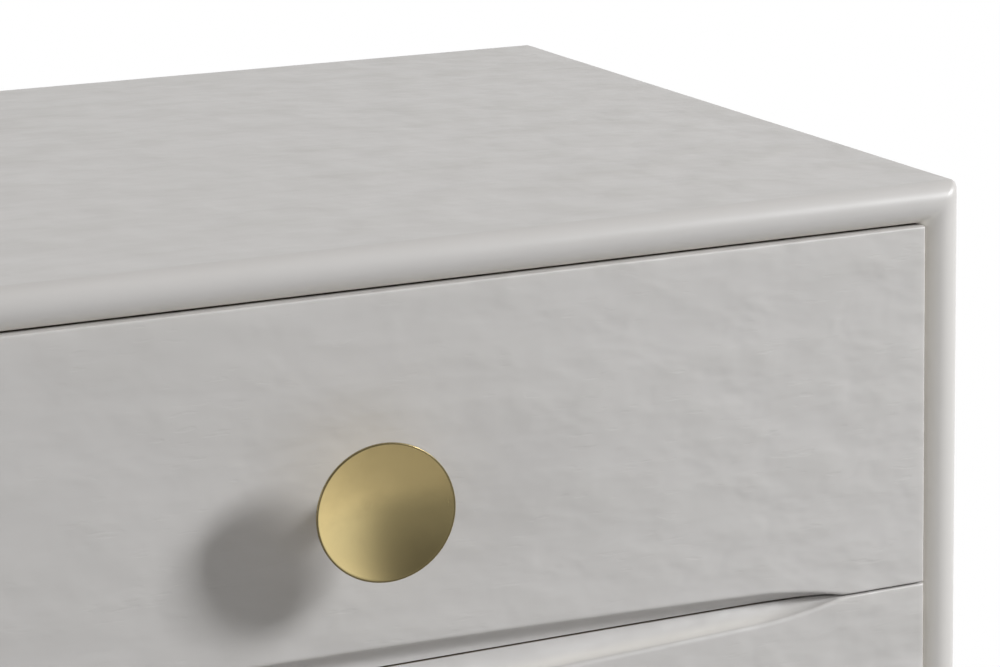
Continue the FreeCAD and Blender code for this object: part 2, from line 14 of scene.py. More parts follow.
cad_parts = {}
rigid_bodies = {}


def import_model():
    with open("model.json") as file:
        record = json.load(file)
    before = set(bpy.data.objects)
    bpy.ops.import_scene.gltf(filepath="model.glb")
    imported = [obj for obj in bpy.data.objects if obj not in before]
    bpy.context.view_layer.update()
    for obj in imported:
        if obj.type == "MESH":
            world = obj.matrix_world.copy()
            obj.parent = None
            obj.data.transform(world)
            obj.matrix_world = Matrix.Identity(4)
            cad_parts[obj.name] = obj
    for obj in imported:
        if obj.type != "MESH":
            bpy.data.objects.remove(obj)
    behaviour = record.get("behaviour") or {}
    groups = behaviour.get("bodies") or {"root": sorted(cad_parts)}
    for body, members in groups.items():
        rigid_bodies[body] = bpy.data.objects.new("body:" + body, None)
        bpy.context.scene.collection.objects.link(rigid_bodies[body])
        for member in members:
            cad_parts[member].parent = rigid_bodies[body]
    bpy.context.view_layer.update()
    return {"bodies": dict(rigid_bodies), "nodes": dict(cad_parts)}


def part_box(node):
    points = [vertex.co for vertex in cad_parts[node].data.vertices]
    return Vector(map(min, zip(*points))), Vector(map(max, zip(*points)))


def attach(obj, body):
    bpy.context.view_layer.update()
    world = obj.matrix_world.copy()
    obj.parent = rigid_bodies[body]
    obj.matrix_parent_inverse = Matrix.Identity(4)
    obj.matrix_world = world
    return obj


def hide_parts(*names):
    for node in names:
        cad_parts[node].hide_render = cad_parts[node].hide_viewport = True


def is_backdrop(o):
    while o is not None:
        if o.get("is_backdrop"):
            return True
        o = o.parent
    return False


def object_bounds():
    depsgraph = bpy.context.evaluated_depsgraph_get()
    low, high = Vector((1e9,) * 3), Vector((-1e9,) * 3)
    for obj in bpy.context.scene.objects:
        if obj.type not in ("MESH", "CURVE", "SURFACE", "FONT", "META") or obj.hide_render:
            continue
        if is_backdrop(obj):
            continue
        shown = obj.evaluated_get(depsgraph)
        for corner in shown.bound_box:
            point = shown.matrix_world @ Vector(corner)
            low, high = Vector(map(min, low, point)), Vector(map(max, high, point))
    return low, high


bl_info = {
    "name": "Campaign chest",
    "version": (1, 0, 0),
    "blender": (4, 5, 0),
    "location": "View3D > Sidebar > Chest",
    "description": "Builds the looks of a lacquered chest of drawers round its packed frame",
    "category": "Object",
}

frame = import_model()

DRAWERS = sorted(name for name in frame["bodies"] if name.startswith("drawer_"))
MERGE_GAP = 1e-5
RIGHT_ANGLE = math.pi / 2
SHARP_ANGLE = math.radians(32)
FLAT_ANGLE = math.radians(0.5)
EASE_ANGLE = math.radians(40)
EASE_SEGMENTS = 2


def width_of(node, axis):
    """Extent of a node of the frame along one axis."""
    low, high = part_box(node)
    return high[axis] - low[axis]


# Properties that a user would change

def length(name, description, default):
    """Length in metres."""
    return FloatProperty(name=name, description=description, default=default, unit="LENGTH", precision=5)


def angle(name, description, degrees):
    """Angle given in degrees."""
    return FloatProperty(name=name, description=description, default=math.radians(degrees), subtype="ANGLE")


def colour(name, description, red, green, blue):
    """Linear colour."""
    return FloatVectorProperty(name=name, description=description, default=(red, green, blue),
                               subtype="COLOR", size=3, min=0, max=1)


def value(name, description, default):
    """Number without a unit."""
    return FloatProperty(name=name, description=description, default=default)


def power(name, description, watts):
    """Power of a lamp."""
    return FloatProperty(name=name, description=description, default=watts, unit="POWER")


def count(name, description, default):
    """Whole number."""
    return IntProperty(name=name, description=description, default=default, min=1)


class CaseSettings(bpy.types.PropertyGroup):
    """Case boards and what is behind them."""
    board: length("Board", "Thickness of the case boards", width_of("top_panel", 2))
    outer_round: length("Outer round", "Radius of the outer corners of the case", 0.003)
    inner_round: length("Inner round", "Radius of the lacquer in the inner corners of the roll", 0.0030)
    # Painted bounce light: the cream on the inner side of the rolls starts this far from the outside and
    # blends across each mitre over this width.
    painted_light_from: length("Thick from", "Distance from the outside where the lacquer grows thicker", 0.0110)
    painted_light_mitre_blend: length("Mitre blend", "Width of the lacquer's blend from board to board at a mitre", 0.030)
    inner_fade: length("Inner fade", "Depth over which the inner round fades out", 0.012)
    back_round: length("Back round", "Radius of the back edges", 0.0012)
    rebate: length("Rebate", "Width of the rebate for the back panel", 0.009)
    waviness: length("Waviness", "Height of the waves in the lacquered boards", 0.00012)
    ease: length("Ease", "Eased edges of the base", 0.0008)
    fine_ease: length("Fine ease", "Eased edges of drawer boxes, runners and the back panel", 0.0004)
    screws_across: count("Screws across", "Back panel screws in the upper and the lower row", 7)
    screws_up: count("Screws up", "Back panel screws between the rows at each side", 4)
    screw_inset: length("Screw inset", "Distance of the screws from the edge of the back panel", 0.0045)
    glide: length("Glide", "Radius of a glide", 0.01197)
    depth_rows: count("Depth rows", "Rows of the mesh from the roll to the back", 90)
    roll_rows: count("Roll rows", "Rows of the mesh round the roll", 40)
    columns: count("Columns", "Columns of the mesh along a board", 150)
    corner_columns: count("Corner columns", "Columns of the mesh in half of a corner", 13)
    glide_steps: count("Glide steps", "Steps of the mesh in a glide's rounding", 6)
    glide_segments: count("Glide segments", "Segments round a glide", 48)


class FrontSettings(bpy.types.PropertyGroup):
    """Drawer fronts and their scoops."""
    edge_round: length("Edge round", "Rounding of the edges that show", 0.0012)
    # Painted light: a cream highlight band inside each scoop's lower arris and a lighter rim along the
    # edges of a front
    painted_light_band: length("Thick band", "Width of the thick lacquer along a scoop's lower arris", 0.0019)
    painted_light_rim: length("Thick rim", "Width of the thicker lacquer along the edges", 0.0045)
    arris_round: length("Arris round", "Rounding of the scoop's outline", 0.0026)
    blend: length("Blend", "Softness where the scoop runs out into the edge", 0.0008)
    half_length: length("Half length", "Half of the scoop's length", 0.3934)
    crest: length("Crest", "Height of the scoop at its middle", 0.0135)
    shoulder: length("Shoulder", "Height of the scoop where its tip begins", 0.0070)
    tip: length("Tip", "Length of the scoop's tip", 0.048)
    depth: length("Depth", "Depth of the scoop", 0.0105)
    waviness: length("Waviness", "Height of the waves in the lacquered fronts", 0.00010)
    end_waviness: length("End waviness", "Extra height of the waves near the ends", 0.00012)
    calm_half: length("Calm half", "Half of the length that has the lower waves", 0.28)
    # Partly painted shade: the edges of a front turn to dark bare wood, which stands in for the shade in
    # the gaps
    bare_wood_gap_shade_share: value("Bare share", "How soon the wood of the edges is bare", 1.6)
    columns: count("Columns", "Columns of the mesh along a front", 420)
    rows: count("Rows", "Rows of the mesh on the flat of a front", 44)
    cove_rows: count("Cove rows", "Rows of the mesh in a scoop", 16)
    arris_rows: count("Arris rows", "Rows of the mesh in a rounded outline", 8)
    end_columns: count("End columns", "Columns of the mesh in a rounded end", 8)


class KnobSettings(bpy.types.PropertyGroup):
    """Turned knobs and screws."""
    lip: length("Lip", "Width of the flat lip round the dish", 0.0007)
    rim: length("Rim", "Thickness of the dish at its rim", 0.0013)
    rim_round: length("Rim round", "Rounding of the rim", 0.0003)
    dish: length("Dish", "Depth of the dish", 0.005)
    web: length("Web", "Thickness of the metal behind the dish", 0.003)
    stem: length("Stem", "Radius of the stem", 0.007)
    flare: length("Flare", "Flare of the stem at its ends", 0.003)
    base: length("Base", "Radius of the base", 0.011)
    base_height: length("Base height", "Height of the base", 0.0025)
    segments: count("Segments", "Segments round a knob", 144)
    screw_head: length("Screw head", "Radius of a screw head", 0.0045)
    screw_rise: length("Screw rise", "Height of a screw head", 0.0028)
    panel_screw: length("Panel screw", "Radius of a back panel screw head", 0.0032)
    recess_share: value("Recess share", "Reach of a recess in the head", 0.58)
    flare_steps: count("Flare steps", "Steps of the outline in the stem's flare", 10)
    back_steps: count("Back steps", "Steps of the outline behind the dish", 21)
    rim_steps: count("Rim steps", "Steps of the outline in a rounding of the rim", 5)
    dish_steps: count("Dish steps", "Steps of the outline in the dish", 40)
    head_steps: count("Head steps", "Steps of the outline over a screw head", 8)
    screw_segments: count("Screw segments", "Segments round a screw", 32)


class FinishSettings(bpy.types.PropertyGroup):
    """Colours of the finishes."""
    lacquer: colour("Lacquer", "Warm light grey lacquer", 0.502, 0.488, 0.477)
    lacquer_shade: colour("Lacquer shade", "Tone of the thinner lacquer in patches", 0.458, 0.446, 0.428)
    # Painted light: this cream tone paints bounce light on the inner side of the rolls and the front edges,
    # and a highlight in the scoops.
    lacquer_light: colour("Light lacquer", "Cream tone of the lacquer where it is thick", 0.90, 0.865, 0.80)
    # Bare wood, dark enough to paint the shade in the gaps between the drawers
    core: colour("Core", "Bare wood of the drawer fronts' edges", 0.19, 0.15, 0.10)
    brass: colour("Brass", "Satin brass", 0.70, 0.552, 0.264)
    maple: colour("Maple", "Drawer sides and backs", 0.62, 0.46, 0.29)
    maple_dark: colour("Maple grain", "Late wood of the drawer sides", 0.47, 0.31, 0.17)
    beech: colour("Beech", "Runners and rails", 0.50, 0.32, 0.19)
    beech_dark: colour("Beech grain", "Late wood of the runners", 0.36, 0.21, 0.11)
    birch: colour("Birch", "Plywood face", 0.64, 0.50, 0.34)
    birch_dark: colour("Birch grain", "Figure of the plywood face", 0.52, 0.37, 0.23)
    steel: colour("Steel", "Zinc plated screws", 0.55, 0.55, 0.54)
    glide: colour("Glide", "Moulded glides", 0.16, 0.15, 0.14)
    floor: colour("Floor", "Studio floor", 0.46, 0.46, 0.46)


class ReliefSettings(bpy.types.PropertyGroup):
    """Heights of the fine relief in the finishes, and where the lacquer's lumps grow."""
    upright_waves: length("Upright waves", "Waves in the lacquer of an upright board", 0.0016)
    level_waves: length("Level waves", "Waves in the lacquer of a level board", 0.0020)
    upright_lumps: length("Upright lumps", "Lumps in the lacquer of an upright board", 0.0022)
    level_lumps: length("Level lumps", "Lumps in the lacquer of a level board", 0.0028)
    lumps_from: length("Lumps from", "Distance from the middle where the lumps begin to grow", 0.10)
    lumps_full: length("Lumps full", "Distance from the middle where the lumps are highest", 0.42)
    dents: length("Dents", "Short dents in the lacquer", 0.00006)
    roll_waves: length("Roll waves", "Waves in the lacquer of the rolled edges", 0.00012)
    roll_grain: length("Roll grain", "Grain in the lacquer of the rolled edges", 0.00001)
    rings: length("Rings", "Rings in the turned brass", 0.0000002)
    fibres: length("Fibres", "Fibres of bare wood", 0.00003)
    moulded: length("Moulded", "Grain of the moulded glides", 0.00002)


class StageSettings(bpy.types.PropertyGroup):
    """Camera, lights, reflected card and floor."""
    lens: value("Lens", "Focal length in millimetres", 88.67)
    camera: FloatVectorProperty(name="Camera", description="Place of the camera", subtype="TRANSLATION",
                                default=(-0.1289, -1.2556, 1.0540), precision=4)
    yaw: angle("Yaw", "Turn of the camera to the right", 19.649)
    pitch: angle("Pitch", "Tilt of the camera downwards", 14.303)
    roll: angle("Roll", "Roll of the camera", -2.212)
    key_side: angle("Key side", "Key light to the right of the front", 55.5)
    key_rise: angle("Key rise", "Height of the key light", 26.0)
    key_size: length("Key size", "Width of the key light", 1.0)
    key_power: power("Key power", "Power of the key light", 258.0)
    fill_side: angle("Fill side", "Fill light to the right of the front", -68.0)
    fill_rise: angle("Fill rise", "Height of the fill light", 7.0)
    fill_size: length("Fill size", "Width of the fill light", 3.6)
    fill_power: power("Fill power", "Power of the fill light", 108.0)
    back_side: angle("Back side", "Back light to the right of the front", -150.0)
    back_power: power("Back power", "Power of the back light", 90.0)
    light_distance: length("Light distance", "Distance of the lights from the top drawer", 5.0)
    horizon: value("Horizon", "Brightness of the studio at the height of the chest", 0.07)
    zenith: value("Zenith", "Brightness of the studio overhead", 0.345)
    soft_tint: colour("Soft tint", "Tint of the light from the studio", 1.0, 0.94, 0.87)
    key_tint: colour("Key tint", "Tint of the lamps", 0.97, 0.985, 1.0)
    card_low: value("Card low", "Brightness of the foot of the reflected card", 0.27)
    card_high: value("Card high", "Brightness of the head of the reflected card", 0.06)
    card_tint: colour("Card tint", "Tint of the reflected card", 0.92, 0.96, 1.0)
    card_right: length("Card right", "Right edge of the reflected card", 1.90)
    card_turn: length("Card turn", "Place to the right of the middle from which the card is white", 1.40)
    card_fade: length("Card fade", "Width over which the card turns white", 0.90)
    card_width: length("Card width", "Width of the reflected card", 5.25)
    card_height: length("Card height", "Height of the reflected card", 3.0)
    card_front: length("Card front", "Distance of the reflected card in front of the chest", 1.6)
    floor_half: length("Floor half", "Half of the floor's width", 8.0)
    floor_clear: length("Floor clear", "Distance at which the floor turns white", 2.1)
    floor_front: length("Floor front", "Middle of the grey floor, in front of the chest's middle", 0.9)
    floor_left: length("Floor left", "Middle of the grey floor, to the left of the chest's middle", 0.5)


class ChestSettings(bpy.types.PropertyGroup):
    """Everything that can be set."""
    case: PointerProperty(type=CaseSettings)
    front: PointerProperty(type=FrontSettings)
    knob: PointerProperty(type=KnobSettings)
    finish: PointerProperty(type=FinishSettings)
    relief: PointerProperty(type=ReliefSettings)
    stage: PointerProperty(type=StageSettings)


def settings():
    """Settings of the scene."""
    return bpy.context.scene.chest


# Node trees

# Sockets of a Mix node that take and give colours
FIRST_COLOUR = 6
SECOND_COLOUR = 7
MIXED_COLOUR = 2


class Wire:
    """Output of a node. Arithmetic on it adds Math nodes to its tree."""

    def __init__(self, tree, socket=None):
        self.tree = tree
        self.socket = socket

    def node(self, kind, options=None, inputs=None, output=0):
        """New node of one kind, with its options, then its inputs as values or wires."""
        made = self.tree.nodes.new(kind)
        for name, choice in (options or {}).items():
            setattr(made, name, choice)
        for name, given in (inputs or {}).items():
            if isinstance(given, Wire):
                self.tree.links.new(given.socket, made.inputs[name])
            else:
                made.inputs[name].default_value = given
        return Wire(self.tree, made.outputs[output] if made.outputs else None)

    def math(self, operation, first, second=0.0):
        """Math node on two values or wires."""
        return self.node("ShaderNodeMath", {"operation": operation}, {0: first, 1: second})

    def __add__(self, other):
        return self.math("ADD", self, other)

    def __sub__(self, other):
        return self.math("SUBTRACT", self, other)

    def __rsub__(self, other):
        return self.math("SUBTRACT", other, self)

    def __mul__(self, other):
        return self.math("MULTIPLY", self, other)

    __radd__ = __add__
    __rmul__ = __mul__


def new_material(name):
    """Empty material and the wire to build it with."""
    material = bpy.data.materials.new(name)
    material.use_nodes = True
    tree = material.node_tree
    tree.nodes.clear()
    return material, Wire(tree)


def shown(start, shader):
    """Make a shader the material's surface."""
    start.node("ShaderNodeOutputMaterial", {}, {"Surface": shader})


def surface(start, inputs):
    """Make a Principled shader the material's surface."""
    shown(start, start.node("ShaderNodeBsdfPrincipled", {}, inputs))


def mixed(start, share, first, second):
    """Mix of two shaders."""
    return start.node("ShaderNodeMixShader", {}, {0: share, 1: first, 2: second})


def attribute(start, name):
    """Number that the mesh holds under a name."""
    return start.node("ShaderNodeAttribute", {"attribute_name": name}, {}, "Fac")


def object_place(start):
    """Place in the object's own frame."""
    return start.node("ShaderNodeTexCoord", {}, {}, "Object")


def part_of(start, place, axis):
    """Part of a place or direction along one axis."""
    return start.node("ShaderNodeSeparateXYZ", {}, {0: place}, axis)


def blend_colours(start, share, first, second):
    """Mix of two colours."""
    def full(tone):
        return tone if isinstance(tone, Wire) else (*tone, 1.0)
    inputs = {0: share, FIRST_COLOUR: full(first), SECOND_COLOUR: full(second)}
    return start.node("ShaderNodeMix", {"data_type": "RGBA"}, inputs, MIXED_COLOUR)


def stretch(share, low, high):
    """Clamped ramp from 0 to 1 between two values."""
    return share.node("ShaderNodeMapRange", {"interpolation_type": "SMOOTHSTEP"},
                      {"Value": share, "From Min": low, "From Max": high, "To Min": 0.0, "To Max": 1.0})


def darker(tone, share):
    """Colour times a share."""
    return tuple(share * part for part in tone)


def bumped(start, height, distance, normal=None):
    """Normal bumped by a height between 0 and 1 times a distance."""
    inputs = {"Height": height, "Distance": distance, "Strength": 1.0}
    if normal is not None:
        inputs["Normal"] = normal
    return start.node("ShaderNodeBump", {}, inputs)


# Finishes

class Pattern(NamedTuple):
    """Noise with scales per metre along and across the grain."""
    along: float
    across: float
    detail: float = 2.0
    roughness: float = 0.5
    distortion: float = 0.0


PATTERNS = {
    "lacquer_waves": Pattern(8.0, 19.0),
    "upright_lumps": Pattern(32.0, 56.0, 2.0, 0.45, 0.15),
    "level_lumps": Pattern(32.0, 36.0, 2.0, 0.45, 0.15),
    "lacquer_marks": Pattern(75.0, 330.0, 1.5),
    "roll_waves": Pattern(40.0, 40.0),
    "roll_grain": Pattern(300.0, 300.0),
    "tarnish": Pattern(55.0, 55.0, 4.0, 0.6),
    "timber_bend": Pattern(1.6, 9.0),
    "timber_bands": Pattern(1.2, 42.0, 3.0, 0.55, 0.6),
    "timber_fibres": Pattern(14.0, 900.0, 3.0, 0.6),
    "timber_pores": Pattern(60.0, 1500.0, 1.0),
    "plywood_figure": Pattern(3.0, 16.0, 4.0, 0.55, 1.4),
    "plywood_fibres": Pattern(18.0, 700.0, 3.0, 0.6),
    "plywood_flecks": Pattern(45.0, 420.0, 1.0),
    "zinc_spangle": Pattern(900.0, 900.0),
    "moulded_grain": Pattern(1400.0, 1400.0),
    "floor_speckle": Pattern(60.0, 60.0, 3.0),
}

# Values of a pattern between which a mark goes from nothing to full
RAMP_SHARES = {
    # Painted gap shade: where the dark bare wood takes over from the lacquer
    "bare_wood_gap_shade": (0.49, 0.53),
    "marks": (0.60, 0.74),
    "dented_lumps": (0.42, 0.60),
    "thin_waves": (0.35, 0.70),
    "thin_lumps": (0.40, 0.75),
    "tarnish": (0.42, 0.75),
    "bands": (0.36, 0.66),
    "pores": (0.62, 0.72),
    "figure": (0.35, 0.68),
    "flecks": (0.68, 0.76),
}

# How much of each mark shows
MARK_SHARES = {
    "waves": 0.25,
    "upright_lumps": 0.25,
    "level_lumps": 0.55,
    "roll": 0.30,
    "tarnish": 0.5,
    # Painted reflection: share of the dark rim of the brass
    "painted_rim_reflection": 0.8,
    "bands": 0.65,
    "fibres": 0.35,
    "pores": 0.35,
    "pore_depth": 0.6,
    "figure": 0.7,
    "plywood_fibres": 0.3,
    "flecks": 0.4,
    "moulded": 0.4,
}

# Brightness of a mark against the tone round it
DARK_SHARES = {
    "tarnish": 0.80,
    # Painted reflection: brightness of the dark rim of the brass
    "painted_rim_reflection": 0.25,
    "pores": 0.6,
    "flecks": 0.6,
    "zinc": 0.72,
    "moulded": 0.7,
    "floor": 0.96,
}

# Least roughness and how much a pattern adds to it
ROUGH_SHARES = {
    "lacquer": (0.32, 0.10),
    "roll": (0.34, 0.08),
    "brass": (0.24, 0.02),
    "maple": (0.50, 0.12),
    "beech": (0.58, 0.12),
    "plywood": (0.55, 0.10),
    "zinc": (0.30, 0.20),
    "moulded": (0.45, 0.15),
}

SIDE_LUMP_SHARE = 0.50
MIDDLE_LUMP_SHARE = 0.68
TARNISH_ROUGH_SHARE = 0.03
RING_PATTERN = {"Scale": 2600.0, "Detail": 3.0, "Roughness": 0.7}
# Where the painted dark reflection on the rim of the brass begins and is full, in widths of the lip from
# its inner edge
PAINTED_RIM_REFLECTION_SHARES = (-0.4, 0.2)


def pattern(start, name, axis=0, shift=None):
    """Noise between 0 and 1 with its grain along one axis, shifted by another noise if there is one."""
    shape = PATTERNS[name]
    scale = tuple(shape.along if place == axis else shape.across for place in range(3))
    place = start.node("ShaderNodeMapping", {}, {"Vector": object_place(start), "Scale": scale})
    if shift is not None:
        place = start.node("ShaderNodeVectorMath", {"operation": "ADD"}, {0: place, 1: shift})
    inputs = {"Vector": place, "Scale": 1.0, "Detail": shape.detail, "Roughness": shape.roughness,
              "Distortion": shape.distortion}
    return start.node("ShaderNodeTexNoise", {}, inputs)


def ramp(share, name):
    """Mark that a pattern leaves, from 0 to 1."""
    return stretch(share, *RAMP_SHARES[name])


def roughness(name, share):
    """Roughness of a finish where a pattern has a share."""
    least, spread = ROUGH_SHARES[name]
    return least + spread * share


def painted_light_and_gap_shade(start, tone):
    """Tone of the lacquer: a cream of painted light where the mesh marks it, and dark bare wood behind a
    face that paints the shade of the gaps.
    """
    tones = settings().finish
    # Painted light first, then painted gap shade in dark bare wood
    lit_tone = blend_colours(start, attribute(start, "painted_light"), tone, tones.lacquer_light)
    return blend_colours(start, ramp(attribute(start, "bare_wood_gap_shade"), "bare_wood_gap_shade"), lit_tone, tones.core)


def lacquer(name, axis, level):
    """Hand-finished satin lacquer: low waves, soft lumps that grow towards the ends, and short dents.
    The lumps are rounder and higher on a level board."""
    tones, relief = settings().finish, settings().relief
    material, start = new_material(name)
    lump_name = "level_lumps" if level else "upright_lumps"
    waves = pattern(start, "lacquer_waves", axis)
    lumps = pattern(start, lump_name, axis)
    marks = pattern(start, "lacquer_marks", axis)
    heavy = SIDE_LUMP_SHARE
    if axis == 0:
        aside = start.math("ABSOLUTE", part_of(start, object_place(start), "X"))
        growth = stretch(aside, relief.lumps_from, relief.lumps_full)
        heavy = MIDDLE_LUMP_SHARE + (1.0 - MIDDLE_LUMP_SHARE) * growth
    dents = ramp(marks, "marks") * ramp(lumps, "dented_lumps")
    normal = bumped(start, waves, relief.level_waves if level else relief.upright_waves)
    normal = bumped(start, lumps * heavy, relief.level_lumps if level else relief.upright_lumps, normal)
    normal = bumped(start, 1.0 - dents, relief.dents, normal)
    thin = ramp(waves, "thin_waves") * MARK_SHARES["waves"]
    thin = thin + ramp(lumps, "thin_lumps") * heavy * MARK_SHARES[lump_name]
    tone = blend_colours(start, thin, tones.lacquer, tones.lacquer_shade)
    surface(start, {"Base Color": painted_light_and_gap_shade(start, tone), "Roughness": roughness("lacquer", lumps),
                    "Normal": normal})
    return material


def roll_lacquer(name):
    """Smoother lacquer of the rolled front edges."""
    tones, relief = settings().finish, settings().relief
    material, start = new_material(name)
    waves = pattern(start, "roll_waves")
    grains = pattern(start, "roll_grain")
    normal = bumped(start, waves, relief.roll_waves)
    normal = bumped(start, grains, relief.roll_grain, normal)
    tone = blend_colours(start, MARK_SHARES["roll"] * waves, tones.lacquer, tones.lacquer_shade)
    surface(start, {"Base Color": painted_light_and_gap_shade(start, tone), "Roughness": roughness("roll", grains),
                    "Normal": normal})
    return material


def turned_brass(name):
    """Turned brass: faint rings round the axis, a soft tarnish and a dark edge all round, which paints the
    rim's dark reflection.
    """
    brass, lip = settings().finish.brass, settings().knob.lip
    material, start = new_material(name)
    radius = attribute(start, "turn_radius")
    rings = start.node("ShaderNodeTexNoise", {"noise_dimensions": "1D"}, {"W": radius, **RING_PATTERN})
    tarnish = pattern(start, "tarnish")
    tone = blend_colours(start, ramp(tarnish, "tarnish") * MARK_SHARES["tarnish"], brass,
                         darker(brass, DARK_SHARES["tarnish"]))
    # Painted reflection: the lip darkens towards the rim, all round
    painted_reflection_start = width_of("drawer_1_knobs", 2) / 2 - lip
    edge = stretch(radius, *(painted_reflection_start + share * lip for share in PAINTED_RIM_REFLECTION_SHARES))
    tone = blend_colours(start, edge * MARK_SHARES["painted_rim_reflection"], tone,
                         darker(brass, DARK_SHARES["painted_rim_reflection"]))
    surface(start, {"Base Color": tone, "Metallic": 1.0,
                    "Roughness": roughness("brass", rings) + TARNISH_ROUGH_SHARE * tarnish,
                    "Normal": bumped(start, rings, settings().relief.rings)})
    return material


def timber(name, wood, axis, light, dark):
    """Planed wood with long grain, growth bands and pores along one axis."""
    material, start = new_material(name)
    bands = pattern(start, "timber_bands", axis, pattern(start, "timber_bend", axis))
    fibres = pattern(start, "timber_fibres", axis)
    pores = ramp(pattern(start, "timber_pores", axis), "pores")
    grain = ramp(bands, "bands") * MARK_SHARES["bands"] + fibres * MARK_SHARES["fibres"]
    tone = blend_colours(start, grain, light, dark)
    tone = blend_colours(start, pores * MARK_SHARES["pores"], tone, darker(dark, DARK_SHARES["pores"]))
    normal = bumped(start, fibres - pores * MARK_SHARES["pore_depth"], settings().relief.fibres)
    surface(start, {"Base Color": tone, "Roughness": roughness(wood, fibres), "Normal": normal})
    return material


def plywood(name, axis):
    """Rotary cut birch face: broad wavy figure and short dark flecks."""
    tones = settings().finish
    material, start = new_material(name)
    figure = pattern(start, "plywood_figure", axis)
    fibres = pattern(start, "plywood_fibres", axis)
    flecks = ramp(pattern(start, "plywood_flecks", axis), "flecks")
    grain = ramp(figure, "figure") * MARK_SHARES["figure"] + fibres * MARK_SHARES["plywood_fibres"]
    tone = blend_colours(start, grain, tones.birch, tones.birch_dark)
    tone = blend_colours(start, flecks * MARK_SHARES["flecks"], tone,
                         darker(tones.birch_dark, DARK_SHARES["flecks"]))
    surface(start, {"Base Color": tone, "Roughness": roughness("plywood", fibres),
                    "Normal": bumped(start, fibres, settings().relief.fibres)})
    return material


def zinc(name):
    """Zinc plate with a fine spangle."""
    steel = settings().finish.steel
    material, start = new_material(name)
    spangle = pattern(start, "zinc_spangle")
    tone = blend_colours(start, spangle, steel, darker(steel, DARK_SHARES["zinc"]))
    surface(start, {"Base Color": tone, "Metallic": 1.0, "Roughness": roughness("zinc", spangle)})
    return material


def moulded(name):
    """Moulded plastic with a fine grain."""
    glide = settings().finish.glide
    material, start = new_material(name)
    grain = pattern(start, "moulded_grain")
    tone = blend_colours(start, grain * MARK_SHARES["moulded"], glide,
                         darker(glide, DARK_SHARES["moulded"]))
    surface(start, {"Base Color": tone, "Roughness": roughness("moulded", grain),
                    "Normal": bumped(start, grain, settings().relief.moulded)})
    return material


def finish(name, make, *details):
    """Material of that name, made once."""
    return bpy.data.materials.get(name) or make(name, *details)


def lacquered(axis, level=False):
    """Lacquer with dents along one axis, for a level or an upright board."""
    return finish(f"lacquer_{'xyz'[axis]}{'_level' if level else ''}", lacquer, axis, level)


def maple(axis):
    """Wood of the drawer boxes and the inner faces of the fronts."""
    tones = settings().finish
    return finish(f"maple_{'xyz'[axis]}", timber, "maple", axis, tones.maple, tones.maple_dark)


def beech(axis):
    """Wood of the runners and rails."""
    tones = settings().finish
    return finish(f"beech_{'xyz'[axis]}", timber, "beech", axis, tones.beech, tones.beech_dark)


# Meshes

def linked(name, data):
    """Object of a mesh, a lamp or a camera, in the scene."""
    made = bpy.data.objects.new(name, data)
    bpy.context.scene.collection.objects.link(made)
    return made


def settle(made):
    """Turn an object with modifiers into its plain result."""
    graph = bpy.context.evaluated_depsgraph_get()
    result = bpy.data.meshes.new_from_object(made.evaluated_get(graph))
    made.modifiers.clear()
    made.data = result
    return made


def from_bmesh(name, shape):
    """Mesh from an edit mesh whose faces are turned outwards."""
    bmesh.ops.recalc_face_normals(shape, faces=shape.faces)
    mesh = bpy.data.meshes.new(name)
    shape.to_mesh(mesh)
    shape.free()
    return mesh


def from_points(name, points, faces):
    """Mesh of points and faces that are turned outwards."""
    draft = bpy.data.meshes.new(name)
    draft.from_pydata(points, [], faces)
    shape = bmesh.new()
    shape.from_mesh(draft)
    bpy.data.meshes.remove(draft)
    return from_bmesh(name, shape)


def soften(mesh):
    """Smooth shading that breaks at sharp edges."""
    mesh.shade_smooth()
    mesh.set_sharp_from_angle(angle=SHARP_ANGLE)


def piece(made, body, nodes=(), material=None):
    """Give a finished object its material, its body and the nodes that it stands for."""
    if material is not None:
        made.data.materials.clear()
        made.data.materials.append(material)
    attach(made, body)
    if nodes:
        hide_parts(*nodes)


def refinish(mesh, material, chosen):
    """Give a second material to the faces that are chosen by the place of their middle along Y."""
    mesh.materials.append(material)
    for face in mesh.polygons:
        if chosen(face.center.y):
            face.material_index = 1


def marked(mesh, name, share):
    """Write a share for each vertex as an attribute, worked out from its place."""
    places = np.empty(3 * len(mesh.vertices))
    mesh.vertices.foreach_get("co", places)
    layer = mesh.attributes.new(name, "FLOAT", "POINT")
    layer.data.foreach_set("value", share(*places.reshape(-1, 3).T))


def node_shape(*nodes):
    """Edit mesh of nodes of the frame, with merged corners and flat faces made whole."""
    shape = bmesh.new()
    for node in nodes:
        shape.from_mesh(frame["nodes"][node].data)
    bmesh.ops.remove_doubles(shape, verts=shape.verts, dist=MERGE_GAP)
    bmesh.ops.dissolve_limit(shape, angle_limit=FLAT_ANGLE, verts=shape.verts, edges=shape.edges)
    return shape


def eased(node, width):
    """Copy of a node with its sharp edges eased."""
    made = linked(f"{node}_eased", from_bmesh(node, node_shape(node)))
    bevel = made.modifiers.new("ease", "BEVEL")
    bevel.width = width
    bevel.segments = EASE_SEGMENTS
    bevel.limit_method = "ANGLE"
    bevel.angle_limit = EASE_ANGLE
    settle(made)
    soften(made.data)
    return made


def carve(made, cutter):
    """Take the cutter's shape out of an object."""
    tool = linked("cutter", cutter)
    cut = made.modifiers.new("cut", "BOOLEAN")
    cut.operation = "DIFFERENCE"
    cut.solver = "MANIFOLD"
    cut.object = tool
    settle(made)
    bpy.data.objects.remove(tool)


def wave_at(waves, *place):
    """Height from 0 to 1 of a noise with so many waves per metre along each axis."""
    return 0.5 + 0.5 * noise.noise(Vector([scale * part for scale, part in zip(waves, place)]))


